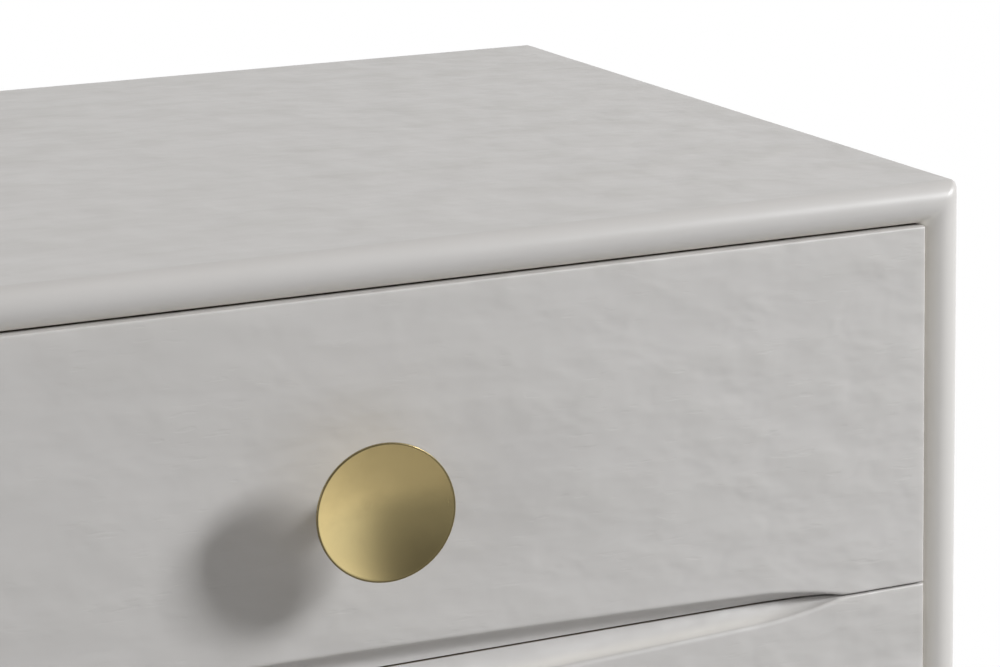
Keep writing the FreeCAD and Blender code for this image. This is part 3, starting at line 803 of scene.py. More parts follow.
def grid_faces(columns, rows, closed_rows=False):
    """Faces between neighbouring points of a grid numbered column by column."""
    faces = []
    last = rows if closed_rows else rows - 1
    for column in range(columns - 1):
        for row in range(last):
            after = (row + 1) % rows
            faces.append((column * rows + row, (column + 1) * rows + row,
                          (column + 1) * rows + after, column * rows + after))
    return faces


def turned(name, outline, segments):
    """Solid of revolution about Z of an outline of radius and height, with its radius kept as an
    attribute."""
    points, faces, rings = [], [], []
    for radius, height in outline:
        if radius < MERGE_GAP:
            rings.append([len(points)] * segments)
            points.append((0.0, 0.0, height))
            continue
        rings.append(list(range(len(points), len(points) + segments)))
        for step in range(segments):
            turn = math.tau * step / segments
            points.append((radius * math.cos(turn), radius * math.sin(turn), height))
    for first, second in zip(rings, rings[1:]):
        for step in range(segments):
            after = (step + 1) % segments
            corners = (first[step], first[after], second[after], second[step])
            faces.append(tuple(dict.fromkeys(corners)))
    mesh = from_points(name, points, faces)
    radii = mesh.attributes.new("turn_radius", "FLOAT", "POINT")
    radii.data.foreach_set("value", [math.hypot(v.co.x, v.co.y) for v in mesh.vertices])
    return mesh


def arc_points(centre, radius, start, end, steps):
    """Points of an arc in a plane."""
    turns = np.linspace(start, end, steps + 1)
    return [(centre[0] + radius * math.cos(turn), centre[1] + radius * math.sin(turn)) for turn in turns]


# Repeats

def repeat_tree():
    """Geometry nodes that set copies of a piece out in rows."""
    name = "rows_of_pieces"
    if name in bpy.data.node_groups:
        return bpy.data.node_groups[name]
    tree = bpy.data.node_groups.new(name, "GeometryNodeTree")
    sockets = (("Geometry", "NodeSocketGeometry"), ("Start", "NodeSocketVector"),
               ("Across", "NodeSocketInt"), ("Across Step", "NodeSocketVector"),
               ("Up", "NodeSocketInt"), ("Up Step", "NodeSocketVector"), ("Material", "NodeSocketMaterial"))
    for label, kind in sockets:
        tree.interface.new_socket(label, in_out="INPUT", socket_type=kind)
    tree.interface.new_socket("Geometry", in_out="OUTPUT", socket_type="NodeSocketGeometry")
    given = tree.nodes.new("NodeGroupInput")
    start = {label: Wire(tree, given.outputs[label]) for label, _ in sockets}
    build = Wire(tree)
    row = build.node("GeometryNodeMeshLine", {}, {"Count": start["Across"], "Offset": start["Across Step"],
                                                 "Start Location": start["Start"]})
    column = build.node("GeometryNodeMeshLine", {}, {"Count": start["Up"], "Offset": start["Up Step"]})
    columns = build.node("GeometryNodeInstanceOnPoints", {}, {"Points": row, "Instance": column})
    places = build.node("GeometryNodeRealizeInstances", {}, {"Geometry": columns})
    copies = build.node("GeometryNodeInstanceOnPoints", {},
                        {"Points": places, "Instance": start["Geometry"]})
    solid = build.node("GeometryNodeRealizeInstances", {}, {"Geometry": copies})
    dressed = build.node("GeometryNodeSetMaterial", {}, {"Geometry": solid, "Material": start["Material"]})
    build.node("NodeGroupOutput", {}, {"Geometry": dressed})
    return tree


def repeated(name, mesh, material, start, across, up=(1, (0.0, 0.0, 0.0))):
    """Object with copies of a mesh in rows; across and up are each a count and a step."""
    made = linked(name, mesh)
    modifier = made.modifiers.new("rows", "NODES")
    modifier.node_group = repeat_tree()
    values = {"Start": start, "Across": across[0], "Across Step": across[1],
              "Up": up[0], "Up Step": up[1], "Material": material}
    for item in modifier.node_group.interface.items_tree:
        if item.in_out == "INPUT" and item.name in values:
            modifier[item.identifier] = values[item.name]
    return settle(made)


# Case boards

# Waves per metre to the side, to the back and upwards
BOARD_WAVES = (22, 30, 22)
FADE_SHARES = (0.6, 1.0)
BACK_ARC_SHARE = 0.3
LEAST_ROUND_SHARE = 0.05
# Least painted bounce light on the upright boards, which lightens their rolls all over
LEAST_PAINTED_LIGHT_SHARE = 0.14
# Powers by which the painted bounce light grows towards the inner side of the rolls
UPRIGHT_PAINTED_LIGHT_GROWTH = 1.2
LEVEL_PAINTED_LIGHT_GROWTH = 2.2


def ring_point(corner_low, corner_high, inset, radius, corner, turn):
    """Point of a rounded rectangle, given by its corner and the way that it faces."""
    x = corner_high.x if corner in (0, 3) else corner_low.x
    z = corner_high.z if corner in (0, 1) else corner_low.z
    way_x = 1 if corner in (0, 3) else -1
    way_z = 1 if corner in (0, 1) else -1
    centre = Vector((x - way_x * (inset + radius), z - way_z * (inset + radius)))
    return centre + radius * Vector((math.cos(turn), math.sin(turn)))


def board_outline(sizes, depth):
    """Closed outline of a board as pairs of share across the board and depth behind its front."""
    nose = sizes.board / 2
    round_share = sizes.back_round / sizes.board
    rebate_share = 1 - sizes.rebate / sizes.board
    panel_face = depth - width_of("back_panel", 1)
    straight = depth - sizes.back_round - nose
    outline = [(0.0, nose + straight * step / sizes.depth_rows) for step in range(sizes.depth_rows, 0, -1)]
    outline += [((1 - math.cos(turn)) / 2, nose * (1 - math.sin(turn)))
                for turn in np.linspace(0, math.pi, sizes.roll_rows + 1)]
    outline += [(1.0, nose + share * sizes.inner_fade) for share in FADE_SHARES]
    outline += [(1.0, panel_face), (rebate_share, panel_face), (rebate_share, depth), (round_share, depth)]
    outline.append((BACK_ARC_SHARE * round_share, depth - BACK_ARC_SHARE * sizes.back_round))
    return outline


def case_board(name, number, sizes, corner_low, corner_high):
    """One mitred board of the case, and the place along Y where its roll ends. The top is number 0 and the
    rest follow to the left."""
    outline = board_outline(sizes, corner_high.y - corner_low.y)
    begin = RIGHT_ANGLE * (number + 0.5)
    middle = RIGHT_ANGLE * (number + 1)
    after = (number + 1) % 4
    columns = [(number, turn, 0.0) for turn in np.linspace(begin, middle, sizes.corner_columns)]
    columns += [(None, middle, share) for share in np.linspace(0, 1, sizes.columns)[1:-1]]
    end = begin + RIGHT_ANGLE
    columns += [(after, turn, 0.0) for turn in np.linspace(middle, end, sizes.corner_columns)]
    points = []
    for corner, turn, share in columns:
        for across, depth in outline:
            past = max(0.0, depth - sizes.board / 2) / sizes.inner_fade
            inner_round = sizes.inner_round * max(LEAST_ROUND_SHARE, 1 - past)
            rims = []
            for inset, radius in ((0.0, sizes.outer_round), (sizes.board, inner_round)):
                if corner is None:
                    first = ring_point(corner_low, corner_high, inset, radius, number, turn)
                    last = ring_point(corner_low, corner_high, inset, radius, after, turn)
                    rims.append(first.lerp(last, share))
                else:
                    rims.append(ring_point(corner_low, corner_high, inset, radius, corner, turn))
            flat = rims[0].lerp(rims[1], across)
            if across == 0.0 and depth > sizes.board / 2:
                calm = min(1.0, (depth - sizes.board / 2) / sizes.board)
                height = wave_at(BOARD_WAVES, flat.x, depth, flat.y)
                flat -= sizes.waviness * calm * height * Vector((math.cos(turn), math.sin(turn)))
            points.append((flat.x, corner_low.y + depth, flat.y))
    rows = len(outline)
    faces = grid_faces(len(columns), rows, closed_rows=True)
    faces.append(tuple(range(rows)))
    faces.append(tuple(range((len(columns) - 1) * rows, len(columns) * rows)))
    return from_points(name, points, faces), corner_low.y + sizes.board / 2


def painted_light_inside(sizes, corner_low, corner_high):
    """Painted bounce light as a cream share: it grows on the inner side of the rolled edges, later on the
    level boards, and lightens the rolls of the upright boards a little all over.
    """
    def share(x, y, z):
        across = np.minimum(x - corner_low.x, corner_high.x - x)
        up = np.minimum(z - corner_low.z, corner_high.z - z)
        upright = np.clip(0.5 + (up - across) / sizes.painted_light_mitre_blend, 0, 1)
        outside = np.minimum(across, up)
        inside = np.clip((outside - sizes.painted_light_from) / (sizes.board - sizes.painted_light_from), 0, 1)
        back = np.clip((y - corner_low.y - sizes.board / 2) / sizes.inner_fade, 0, 1)
        # Painted bounce light: upright and level shares, faded out behind the rolls
        painted_light = upright * np.maximum(inside ** UPRIGHT_PAINTED_LIGHT_GROWTH, LEAST_PAINTED_LIGHT_SHARE)
        return (painted_light + (1 - upright) * inside ** LEVEL_PAINTED_LIGHT_GROWTH) * (1 - back)
    return share


class CHEST_OT_case_boards(bpy.types.Operator):
    """Top, bottom and side boards with rolled front edges that blend at the corners"""
    bl_idname = "chest.case_boards"
    bl_label = "Case boards"

    def execute(self, context):
        sizes = settings().case
        top_low, top_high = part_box("top_panel")
        corner_low = Vector((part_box("left_side_panel")[0].x, top_low.y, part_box("bottom_panel")[0].z))
        corner_high = Vector((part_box("right_side_panel")[1].x, top_high.y, top_high.z))
        boards = (("top", 0), ("left_side", 2), ("bottom", 0), ("right_side", 2))
        for number, (name, axis) in enumerate(boards):
            mesh, roll_end = case_board(f"{name}_board", number, sizes, corner_low, corner_high)
            soften(mesh)
            # Painted bounce light on the rolls, as a share for the cream tone
            marked(mesh, "painted_light", painted_light_inside(sizes, corner_low, corner_high))
            made = linked(f"{name}_board", mesh)
            piece(made, "case", [f"{name}_panel"], lacquered(axis, axis == 0))
            refinish(mesh, finish("lacquer_roll", roll_lacquer), lambda y: y < roll_end)
        return {"FINISHED"}


# Drawer fronts

# Waves per metre along a front, up it and from one drawer to the next
FRONT_WAVES = (24, 40, 7)
TIP_STEP = 0.0009
PLACE_DECIMALS = 6
PAST_TIP_SHARE = 0.4
LEAST_COVE_SHARE = 0.45
# Strength of the painted light along a front's edges, and the shares of the painted highlight in the scoops
PAINTED_RIM_LIGHT_SHARE = 0.056
PAINTED_HIGHLIGHT_SHARES = {"full": 0.34, "middle": 0.5, "onset": 0.2, "first_height": 0.30, "more_height": 0.3}


def scoop_height(sizes, x):
    """Height of the scoop's outline over the edge of a front: a long arc and a tighter arc at each tip."""
    reach = sizes.half_length - sizes.tip
    turn = 2 * math.atan((sizes.crest - sizes.shoulder) / reach)
    middle_radius = reach / math.sin(turn)
    tip_turn = math.atan(sizes.shoulder / sizes.tip) - turn
    tip_radius = math.hypot(sizes.shoulder, sizes.tip) / (2 * math.sin(tip_turn))
    tip_x = reach - tip_radius * math.sin(turn)
    tip_z = sizes.shoulder - tip_radius * math.cos(turn)
    far = np.abs(x)
    middle = sizes.crest - middle_radius + np.sqrt(middle_radius ** 2 - np.minimum(far, reach) ** 2)
    tip = tip_z + np.sqrt(tip_radius ** 2 - np.maximum(far - tip_x, 0) ** 2)
    return np.where(far <= reach, middle, tip)


def edge_depth(distance, radius):
    """Depth of a quarter round at a distance from its edge."""
    inside = np.clip(radius - distance, 0, radius)
    return radius - np.sqrt(radius ** 2 - inside ** 2)


def cove_levels(sizes, height):
    """Where the rounded arris of a cove begins and ends."""
    span = math.sqrt(sizes.depth ** 2 + 2 * sizes.depth * sizes.arris_round)
    foot = height - sizes.depth
    return foot + sizes.depth * span / (sizes.depth + sizes.arris_round), foot + span


def cove_depth(sizes, distance, height):
    """Depth of a cove with a rounded arris at a distance from the edge of a front."""
    begin, end = cove_levels(sizes, height)
    rise = np.clip(distance - height + sizes.depth, 0, sizes.depth)
    hollow = np.sqrt(sizes.depth ** 2 - rise ** 2)
    inside = np.clip(end - distance, 0, sizes.arris_round)
    arris = sizes.arris_round - np.sqrt(sizes.arris_round ** 2 - inside ** 2)
    return np.where(distance < begin, hollow, arris)


def zone(sizes, x, scooped):
    """Distances from the edge and depths of the rows from the edge of a front to its flat."""
    height = scoop_height(sizes, x) if scooped else np.full_like(x, -sizes.depth)
    begin, end = cove_levels(sizes, height)
    begin = np.maximum(begin, LEAST_COVE_SHARE * sizes.edge_round)[:, None]
    end = np.maximum(end, sizes.edge_round)[:, None]
    low = begin * np.sin(RIGHT_ANGLE * np.linspace(0, 1, sizes.cove_rows + 1))
    high = begin + (end - begin) * (1 - np.cos(RIGHT_ANGLE * np.linspace(0, 1, sizes.arris_rows + 1)[1:]))
    distance = np.hstack((low, high))
    rounded = edge_depth(distance, sizes.edge_round)
    hollow = cove_depth(sizes, distance, height[:, None])
    gap = rounded - hollow
    depth = (rounded + hollow + np.sqrt(gap ** 2 + sizes.blend ** 2) - sizes.blend) / 2
    return distance, np.maximum(depth, 0)


def front_columns(sizes, half):
    """Places of the columns along a front, closer at the scoop's tips and the rounded ends."""
    flat_half = half - sizes.edge_round
    even = np.linspace(-flat_half, flat_half, sizes.columns)
    past_tip = min(flat_half, sizes.half_length + PAST_TIP_SHARE * sizes.tip)
    tips = np.arange(sizes.half_length - sizes.tip, past_tip, TIP_STEP)
    ends = flat_half + sizes.edge_round * np.sin(RIGHT_ANGLE * np.linspace(0, 1, sizes.end_columns + 1)[1:])
    return np.unique(np.round(np.concatenate((even, tips, -tips, ends, -ends)), PLACE_DECIMALS))


def front_mesh(name, node, sizes, lower, upper):
    """Front with its scoops as one closed mesh."""
    low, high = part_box(node)
    height, back = high.z - low.z, high.y
    x = front_columns(sizes, high.x)
    under, under_depth = zone(sizes, x, lower)
    over, over_depth = zone(sizes, x, upper)
    shares = np.linspace(0, 1, sizes.rows + 2)[1:-1]
    first, last = under[:, -1:], height - over[:, -1:]
    z = np.hstack((under, first + (last - first) * shares, height - over[:, ::-1]))
    depth = np.hstack((under_depth, np.zeros((len(x), sizes.rows)), over_depth[:, ::-1]))
    depth += edge_depth(high.x - np.abs(x), sizes.edge_round)[:, None]
    ends = np.clip((np.abs(x) - sizes.calm_half) / (high.x - sizes.calm_half), 0, 1)
    waves = np.array([[wave_at(FRONT_WAVES, px, pz, low.z) for pz in row] for px, row in zip(x, z)])
    depth += (sizes.waviness + sizes.end_waviness * ends)[:, None] * waves
    columns, rows = z.shape
    points = [(px, low.y + d, low.z + pz) for px, zs, ds in zip(x, z, depth) for pz, d in zip(zs, ds)]
    faces = grid_faces(columns, rows)
    lower_back = len(points)
    points += [(px, back, low.z) for px in x]
    upper_back = len(points)
    points += [(px, back, high.z) for px in x]
    for column in range(columns - 1):
        near, far = column * rows, (column + 1) * rows
        under_back, over_back = lower_back + column, upper_back + column
        faces.append((under_back, under_back + 1, far, near))
        faces.append((near + rows - 1, far + rows - 1, over_back + 1, over_back))
        faces.append((over_back, over_back + 1, under_back + 1, under_back))
    for column in (0, columns - 1):
        edge = tuple(range(column * rows, (column + 1) * rows))
        faces.append(edge + (upper_back + column, lower_back + column))
    return from_points(name, points, faces)


def painted_light_edges(sizes, node, upper):
    """Painted light along the edges of a front, and a painted highlight just inside the lower arris of a
    scoop.
    """
    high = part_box(node)[1]

    def share(x, y, z):
        edge = np.maximum(np.minimum(high.x - np.abs(x), high.z - z), 0)
        # Painted light: a lighter rim along the ends and the top of the front
        rim = PAINTED_RIM_LIGHT_SHARE * np.exp(-(edge / sizes.painted_light_rim) ** 2)
        if not upper:
            return rim
        # Painted highlight: a bright band just inside the scoop's lower arris, fading out towards the tips
        height = scoop_height(sizes, np.clip(x, -sizes.half_length, sizes.half_length))
        inside = height - (high.z - z)
        painted_highlight = np.exp(-((inside - PAINTED_HIGHLIGHT_SHARES["middle"] * sizes.painted_light_band) / sizes.painted_light_band) ** 2)
        painted_highlight *= np.clip(inside / (PAINTED_HIGHLIGHT_SHARES["onset"] * sizes.painted_light_band), 0, 1)
        tall = (height / sizes.crest - PAINTED_HIGHLIGHT_SHARES["first_height"]) / PAINTED_HIGHLIGHT_SHARES["more_height"]
        painted_highlight *= PAINTED_HIGHLIGHT_SHARES["full"] * np.clip(tall, 0, 1)
        return np.where(inside > 0, painted_highlight, rim)
    return share


def bare_wood_gap_shade_inside(node, back_share):
    """Share of the front's thickness that lies before a place. It is raised on the back, so that the edges
    are dark bare wood, which paints the shade in the gaps, from a little behind the face."""
    low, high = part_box(node)

    def share(x, y, z):
        return np.where(y > high.y - MERGE_GAP, back_share, (y - low.y) / (high.y - low.y))
    return share


class CHEST_OT_drawer_fronts(bpy.types.Operator):
    """Drawer fronts with half a lens-shaped scoop at each seam"""
    bl_idname = "chest.drawer_fronts"
    bl_label = "Drawer fronts"

    def execute(self, context):
        sizes = settings().front
        for drawer in DRAWERS:
            node = f"{drawer}_front"
            mesh = front_mesh(node, node, sizes, drawer != DRAWERS[-1], drawer != DRAWERS[0])
            made = linked(f"{drawer}_scooped_front", mesh)
            joined = node_shape(f"{drawer}_left_side", f"{drawer}_right_side", f"{drawer}_bottom")
            carve(made, from_bmesh("joints", joined))
            soften(made.data)
            # Painted light along the edges and in the scoops, then dark bare wood as painted gap shade
            marked(made.data, "painted_light", painted_light_edges(sizes, node, drawer != DRAWERS[0]))
            marked(made.data, "bare_wood_gap_shade", bare_wood_gap_shade_inside(node, sizes.bare_wood_gap_shade_share))
            piece(made, drawer, [node], lacquered(0))
            inner_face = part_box(node)[1].y - MERGE_GAP
            refinish(made.data, maple(0), lambda y: y > inner_face)
        return {"FINISHED"}


# Knobs and screws

BASE_EASE_SHARE = 0.3
SCREW_SHARES = {"shank": 0.4, "side": 0.35, "slot": 0.16, "floor": 0.3}


def knob_outline(sizes, radius, projection):
    """Outline of a knob as pairs of radius and height over the drawer front."""
    lip = radius - sizes.lip
    dish_radius = (lip ** 2 + sizes.dish ** 2) / (2 * sizes.dish)
    dish_centre = (0.0, projection - sizes.dish + dish_radius)
    dish_turn = math.asin(lip / dish_radius)
    flare_centre = (sizes.stem + sizes.flare, sizes.base_height + sizes.flare)
    back = projection - sizes.dish - sizes.web
    base_ease = BASE_EASE_SHARE * sizes.base_height
    outline = [(0.0, 0.0), (sizes.base, 0.0), (sizes.base, sizes.base_height - base_ease)]
    outline.append((sizes.base - base_ease, sizes.base_height))
    outline += arc_points(flare_centre, sizes.flare, -RIGHT_ANGLE, -math.pi, sizes.flare_steps)
    outline.append((sizes.stem, back - sizes.flare))
    throat = Vector((sizes.stem, back - sizes.flare))
    turn_point = Vector((sizes.stem, back))
    rim_foot = Vector((radius - sizes.rim_round, projection - sizes.rim))
    for step in np.linspace(0, 1, sizes.back_steps + 1)[1:]:
        rest = 1 - step
        outline.append(tuple(rest ** 2 * throat + 2 * step * rest * turn_point + step ** 2 * rim_foot))
    round_centre = (radius - sizes.rim_round, projection - sizes.rim + sizes.rim_round)
    outline += arc_points(round_centre, sizes.rim_round, -RIGHT_ANGLE, 0, sizes.rim_steps)[1:]
    round_centre = (radius - sizes.rim_round, projection - sizes.rim_round)
    outline += arc_points(round_centre, sizes.rim_round, 0, RIGHT_ANGLE, sizes.rim_steps)
    dish_start = dish_turn - RIGHT_ANGLE
    outline += arc_points(dish_centre, dish_radius, dish_start, -RIGHT_ANGLE, sizes.dish_steps)
    return outline


def screw_mesh(name, sizes, radius, rise, shank):
    """Pan head screw with a cross recess, head upwards from height 0."""
    shank_radius, side = SCREW_SHARES["shank"] * radius, SCREW_SHARES["side"]
    outline = [(0.0, -shank), (shank_radius, -shank), (shank_radius, 0.0)]
    outline += [(radius, 0.0), (radius, side * rise)]
    outline += [(radius * math.cos(turn), rise * (side + (1 - side) * math.sin(turn)))
                for turn in np.linspace(0, RIGHT_ANGLE, sizes.head_steps + 1)[1:-1]]
    outline.append((0.0, rise))
    made = linked(name, turned(name, outline, sizes.screw_segments))
    reach, half = sizes.recess_share * radius, SCREW_SHARES["slot"] * radius
    arm = [(reach, half), (half, half), (half, reach)]
    corners = []
    for _ in range(4):
        corners += arm
        arm = [(-y, x) for x, y in arm]
    shape = bmesh.new()
    face = shape.faces.new([shape.verts.new((x, y, SCREW_SHARES["floor"] * rise)) for x, y in corners])
    raised = bmesh.ops.extrude_face_region(shape, geom=[face])["geom"]
    lid = [part for part in raised if isinstance(part, bmesh.types.BMVert)]
    bmesh.ops.translate(shape, vec=(0, 0, rise), verts=lid)
    carve(made, from_bmesh("recess", shape))
    mesh = made.data
    bpy.data.objects.remove(made)
    soften(mesh)
    return mesh


class CHEST_OT_knobs(bpy.types.Operator):
    """Dished brass knobs, two on each drawer"""
    bl_idname = "chest.knobs"
    bl_label = "Knobs"

    def execute(self, context):
        sizes = settings().knob
        for drawer in DRAWERS:
            low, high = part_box(f"{drawer}_knobs")
            radius = (high.z - low.z) / 2
            mesh = turned("knob", knob_outline(sizes, radius, high.y - low.y), sizes.segments)
            soften(mesh)
            mesh.transform(Matrix.Rotation(RIGHT_ANGLE, 4, "X"))
            made = repeated(f"{drawer}_dished_knobs", mesh, finish("turned_brass", turned_brass),
                            (low.x + radius, high.y, low.z + radius),
                            (2, (high.x - low.x - 2 * radius, 0.0, 0.0)))
            piece(made, drawer, [f"{drawer}_knobs"])
        return {"FINISHED"}


class CHEST_OT_knob_screws(bpy.types.Operator):
    """Machine screws that hold the knobs from inside the drawers"""
    bl_idname = "chest.knob_screws"
    bl_label = "Knob screws"

    def execute(self, context):
        sizes = settings().knob
        for drawer in DRAWERS:
            low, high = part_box(f"{drawer}_knob_screws")
            head, rise = sizes.screw_head, sizes.screw_rise
            mesh = screw_mesh("machine_screw", sizes, head, rise, high.y - low.y - rise)
            mesh.transform(Matrix.Rotation(-RIGHT_ANGLE, 4, "X"))
            made = repeated(f"{drawer}_machine_screws", mesh, finish("zinc", zinc),
                            (low.x + head, high.y - rise, low.z + head),
                            (2, (high.x - low.x - 2 * head, 0.0, 0.0)))
            piece(made, drawer, [f"{drawer}_knob_screws"])
        return {"FINISHED"}


# Plain boards

PANEL_RISE_SHARE = 0.3
GLIDE_SHARES = {"foot": 0.80, "round": 0.2, "side": 0.85}


def plain_piece(node, body, ease, material):
    """Piece that is a node with eased edges."""
    piece(eased(node, ease), body, [node], material)


class CHEST_OT_drawer_boxes(bpy.types.Operator):
    """Dovetailed sides, backs and bottoms of the drawers"""
    bl_idname = "chest.drawer_boxes"
    bl_label = "Drawer boxes"

    def execute(self, context):
        ease = settings().case.fine_ease
        for drawer in DRAWERS:
            for part, axis in (("left_side", 1), ("right_side", 1), ("back", 0)):
                plain_piece(f"{drawer}_{part}", drawer, ease, maple(axis))
            plain_piece(f"{drawer}_bottom", drawer, ease, finish("birch_x", plywood, 0))
        return {"FINISHED"}


class CHEST_OT_web_frames(bpy.types.Operator):
    """Rails, runners and kickers that carry the drawers"""
    bl_idname = "chest.web_frames"
    bl_label = "Web frames"

    def execute(self, context):
        ease = settings().case.fine_ease
        for node in frame["nodes"]:
            if "rail" in node:
                plain_piece(node, "case", ease, beech(0))
            elif "runner" in node or "kicker" in node:
                plain_piece(node, "case", ease, beech(1))
        return {"FINISHED"}


class CHEST_OT_back(bpy.types.Operator):
    """Back panel and the screws round its edge"""
    bl_idname = "chest.back"
    bl_label = "Back"

    def execute(self, context):
        case, knob = settings().case, settings().knob
        plain_piece("back_panel", "case", case.fine_ease, finish("birch_z", plywood, 2))
        low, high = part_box("back_panel")
        rise = PANEL_RISE_SHARE * knob.panel_screw
        left, right = low.x + case.screw_inset, high.x - case.screw_inset
        floor, roof = low.z + case.screw_inset, high.z - case.screw_inset
        width, height = right - left, roof - floor
        between = height / (case.screws_up + 1)
        rows = (("back_screw_rows", case.screws_across, 2, floor, width / (case.screws_across - 1), height),
                ("back_screw_columns", 2, case.screws_up, floor + between, width, between))
        for name, across, up, level, across_step, up_step in rows:
            mesh = screw_mesh("wood_screw", knob, knob.panel_screw, rise, width_of("back_panel", 1) - rise)
            mesh.transform(Matrix.Rotation(-RIGHT_ANGLE, 4, "X"))
            made = repeated(name, mesh, finish("zinc", zinc), (left, high.y - rise, level),
                            (across, (across_step, 0.0, 0.0)), (up, (0.0, 0.0, up_step)))
            piece(made, "case")
        return {"FINISHED"}


class CHEST_OT_base(bpy.types.Operator):
    """Recessed base with its blocks and glides"""
    bl_idname = "chest.base"
    bl_label = "Base"

    def execute(self, context):
        case = settings().case
        for part, axis in (("front", 0), ("back", 0), ("left", 1), ("right", 1)):
            plain_piece(f"plinth_{part}", "case", case.ease, lacquered(axis))
        plain_piece("plinth_corner_blocks", "case", case.ease, beech(2))
        low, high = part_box("plinth_glides")
        rise, glide = high.z - low.z, case.glide
        foot_round = GLIDE_SHARES["round"] * rise
        foot = (GLIDE_SHARES["foot"] * glide, foot_round)
        outline = [(0.0, 0.0)] + arc_points(foot, foot_round, -RIGHT_ANGLE, 0, case.glide_steps)
        outline += [(glide, GLIDE_SHARES["side"] * rise), (glide, rise), (0.0, rise)]
        mesh = turned("glide", outline, case.glide_segments)
        soften(mesh)
        made = repeated("moulded_glides", mesh, finish("moulded", moulded),
                        (low.x + glide, low.y + glide, low.z), (2, (high.x - low.x - 2 * glide, 0.0, 0.0)),
                        (2, (0.0, high.y - low.y - 2 * glide, 0.0)))
        piece(made, "case", ["plinth_glides"])
        return {"FINISHED"}


# Stage

FLOOR_SEGMENTS = 8
FLOOR_GREY_SHARE = 0.45
CARD_RISE_SHARE = 0.5
CARD_DIM_SHARE = 0.5


def seen_directly(start):
    """1 for rays from the camera and for rays that a mirror or glass sends on, else 0."""
    seen = start.node("ShaderNodeLightPath", {}, {}, "Is Camera Ray")
    path = seen.socket.node
    for way in ("Is Glossy Ray", "Is Transmission Ray"):
        seen = start.math("MAXIMUM", seen, Wire(start.tree, path.outputs[way]))
    return seen


def glow(start, kind, strength, tint=(1.0, 1.0, 1.0)):
    """Light of a strength, white unless it has a tint."""
    return start.node(kind, {}, {"Color": (*tint, 1.0), "Strength": strength})


def studio_world(stage):
    """World that is white to the camera and in reflections, and lights the chest softly."""
    world = bpy.data.worlds.new("studio")
    bpy.context.scene.world = world
    world.use_nodes = True
    world.node_tree.nodes.clear()
    start = Wire(world.node_tree)
    rise = stretch(part_of(start, start.node("ShaderNodeTexCoord", {}, {}, "Generated"), "Z"), 0.0, 1.0)
    strength = stage.horizon + (stage.zenith - stage.horizon) * rise
    soft = glow(start, "ShaderNodeBackground", strength, stage.soft_tint)
    white = glow(start, "ShaderNodeBackground", 1.0)
    start.node("ShaderNodeOutputWorld", {}, {"Surface": mixed(start, seen_directly(start), soft, white)})


def studio_floor(stage):
    """Pale floor that holds the shadow of the chest, turns white further out and is clear from below."""
    shape = bmesh.new()
    bmesh.ops.create_grid(shape, x_segments=FLOOR_SEGMENTS, y_segments=FLOOR_SEGMENTS,
                          size=stage.floor_half)
    floor = linked("studio_floor", from_bmesh("studio_floor", shape))
    material, start = new_material("studio_floor")
    tone = settings().finish.floor
    speckle = pattern(start, "floor_speckle")
    shade = blend_colours(start, speckle, tone, darker(tone, DARK_SHARES["floor"]))
    matt = start.node("ShaderNodeBsdfDiffuse", {}, {"Color": shade})
    middle = (-stage.floor_left, -stage.floor_front, 0.0)
    far = start.node("ShaderNodeVectorMath", {"operation": "DISTANCE"}, {0: object_place(start), 1: middle},
                     "Value")
    white = stretch(far, FLOOR_GREY_SHARE * stage.floor_clear, stage.floor_clear) * seen_directly(start)
    above = mixed(start, white, matt, glow(start, "ShaderNodeEmission", 1.0))
    below = start.node("ShaderNodeNewGeometry", {}, {}, "Backfacing")
    shown(start, mixed(start, below, above, start.node("ShaderNodeBsdfTransparent")))
    floor.data.materials.append(material)
    floor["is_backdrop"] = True


def reflected_card(stage):
    """Grey card in front of the chest that only reflections show."""
    right, front = stage.card_right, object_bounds()[0].y - stage.card_front
    corners = ((right - stage.card_width, 0.0), (right, 0.0), (right, stage.card_height),
               (right - stage.card_width, stage.card_height))
    shape = bmesh.new()
    shape.faces.new([shape.verts.new((x, front, z)) for x, z in corners])
    card = linked("reflected_card", from_bmesh("reflected_card", shape))
    material, start = new_material("reflected_card")
    place = object_place(start)
    rise = stretch(part_of(start, place, "Z"), 0.0, CARD_RISE_SHARE * stage.card_height)
    grey = stage.card_low + (stage.card_high - stage.card_low) * rise
    aside = stretch(part_of(start, place, "X"), stage.card_turn - stage.card_fade, stage.card_turn)
    strength = grey + aside * (1.0 - grey) * (1.0 - CARD_DIM_SHARE * rise)
    shown(start, glow(start, "ShaderNodeEmission", strength, stage.card_tint))
    card.data.materials.append(material)
    card.visible_camera = False
    card.visible_diffuse = False
    card.visible_shadow = False
    card.visible_transmission = False
    card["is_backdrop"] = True


def soft_light(stage, name, side, rise, size, watts):
    """Square light aimed at the top drawer, given by its bearing."""
    lamp = bpy.data.lights.new(name, "AREA")
    lamp.energy = watts
    lamp.size = size
    lamp.color = stage.key_tint
    made = linked(name, lamp)
    low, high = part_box("drawer_1_front")
    target = low.lerp(high, 0.5)
    way = Vector((math.sin(side) * math.cos(rise), -math.cos(side) * math.cos(rise), math.sin(rise)))
    made.visible_camera = False
    made.location = target + stage.light_distance * way
    made.rotation_euler = (-way).to_track_quat("-Z", "Y").to_euler()


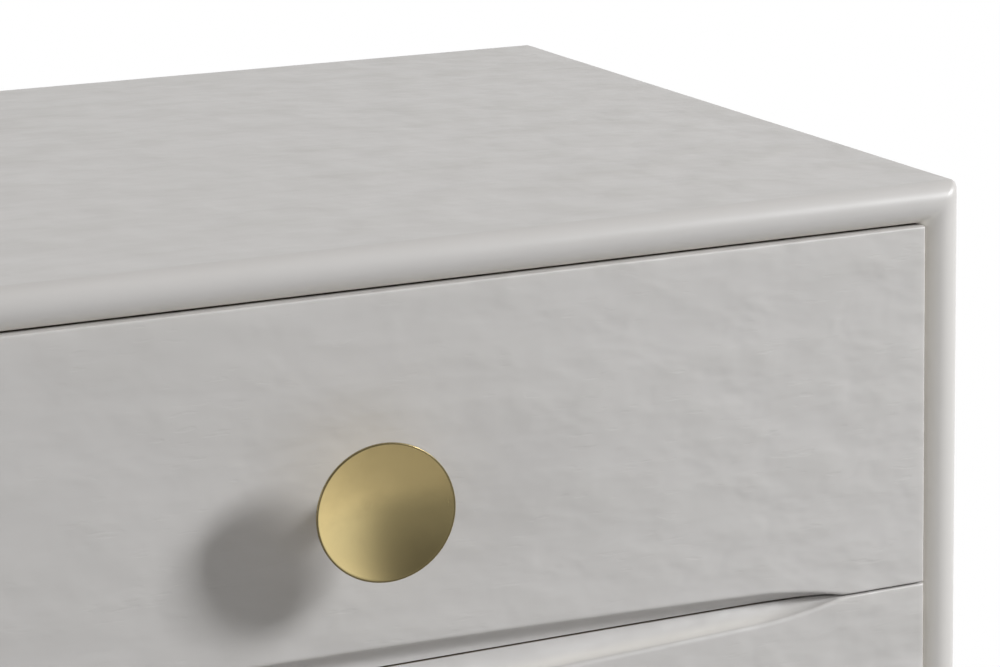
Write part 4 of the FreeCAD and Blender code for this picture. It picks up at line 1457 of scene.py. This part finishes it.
def photo_camera(stage):
    """Camera at the picture's viewing angle."""
    lens = bpy.data.cameras.new("camera")
    lens.lens = stage.lens
    made = linked("camera", lens)
    flat = math.cos(stage.pitch)
    forward = Vector((math.sin(stage.yaw) * flat, math.cos(stage.yaw) * flat, -math.sin(stage.pitch)))
    level = Vector((math.cos(stage.yaw), -math.sin(stage.yaw), 0.0))
    upright = level.cross(forward)
    right = level * math.cos(stage.roll) + upright * math.sin(stage.roll)
    up = upright * math.cos(stage.roll) - level * math.sin(stage.roll)
    turn = Matrix((right, up, -forward)).transposed()
    made.matrix_world = Matrix.Translation(stage.camera) @ turn.to_4x4()
    bpy.context.scene.camera = made


class CHEST_OT_stage(bpy.types.Operator):
    """Floor, lights, world and camera"""
    bl_idname = "chest.stage"
    bl_label = "Stage"

    def execute(self, context):
        stage = settings().stage
        studio_world(stage)
        studio_floor(stage)
        reflected_card(stage)
        soft_light(stage, "key", stage.key_side, stage.key_rise, stage.key_size, stage.key_power)
        soft_light(stage, "fill", stage.fill_side, stage.fill_rise, stage.fill_size, stage.fill_power)
        soft_light(stage, "back", stage.back_side, stage.fill_rise, stage.fill_size, stage.back_power)
        photo_camera(stage)
        context.scene.view_settings.view_transform = "Standard"
        return {"FINISHED"}


STEPS = (CHEST_OT_case_boards, CHEST_OT_drawer_fronts, CHEST_OT_knobs, CHEST_OT_knob_screws,
         CHEST_OT_drawer_boxes, CHEST_OT_web_frames, CHEST_OT_back, CHEST_OT_base, CHEST_OT_stage)


class CHEST_PT_panel(bpy.types.Panel):
    """Steps and settings of the chest"""
    bl_idname = "CHEST_PT_panel"
    bl_label = "Campaign chest"
    bl_space_type = "VIEW_3D"
    bl_region_type = "UI"
    bl_category = "Chest"

    def draw(self, context):
        for step in STEPS:
            self.layout.operator(step.bl_idname)
        chest = context.scene.chest
        for group in (chest.case, chest.front, chest.knob, chest.finish, chest.relief, chest.stage):
            box = self.layout.box()
            for name in group.__annotations__:
                box.prop(group, name)


CLASSES = (CaseSettings, FrontSettings, KnobSettings, FinishSettings, ReliefSettings, StageSettings,
           ChestSettings, *STEPS, CHEST_PT_panel)


def register():
    """Register the settings, the steps and the panel."""
    for item in CLASSES:
        bpy.utils.register_class(item)
    bpy.types.Scene.chest = PointerProperty(type=ChestSettings)


def unregister():
    """Take them out again."""
    del bpy.types.Scene.chest
    for item in reversed(CLASSES):
        bpy.utils.unregister_class(item)


def main():
    """Build the chest and its stage."""
    register()
    for step in STEPS:
        group, name = step.bl_idname.split(".")
        getattr(getattr(bpy.ops, group), name)()


if __name__ == "__main__":
    main()
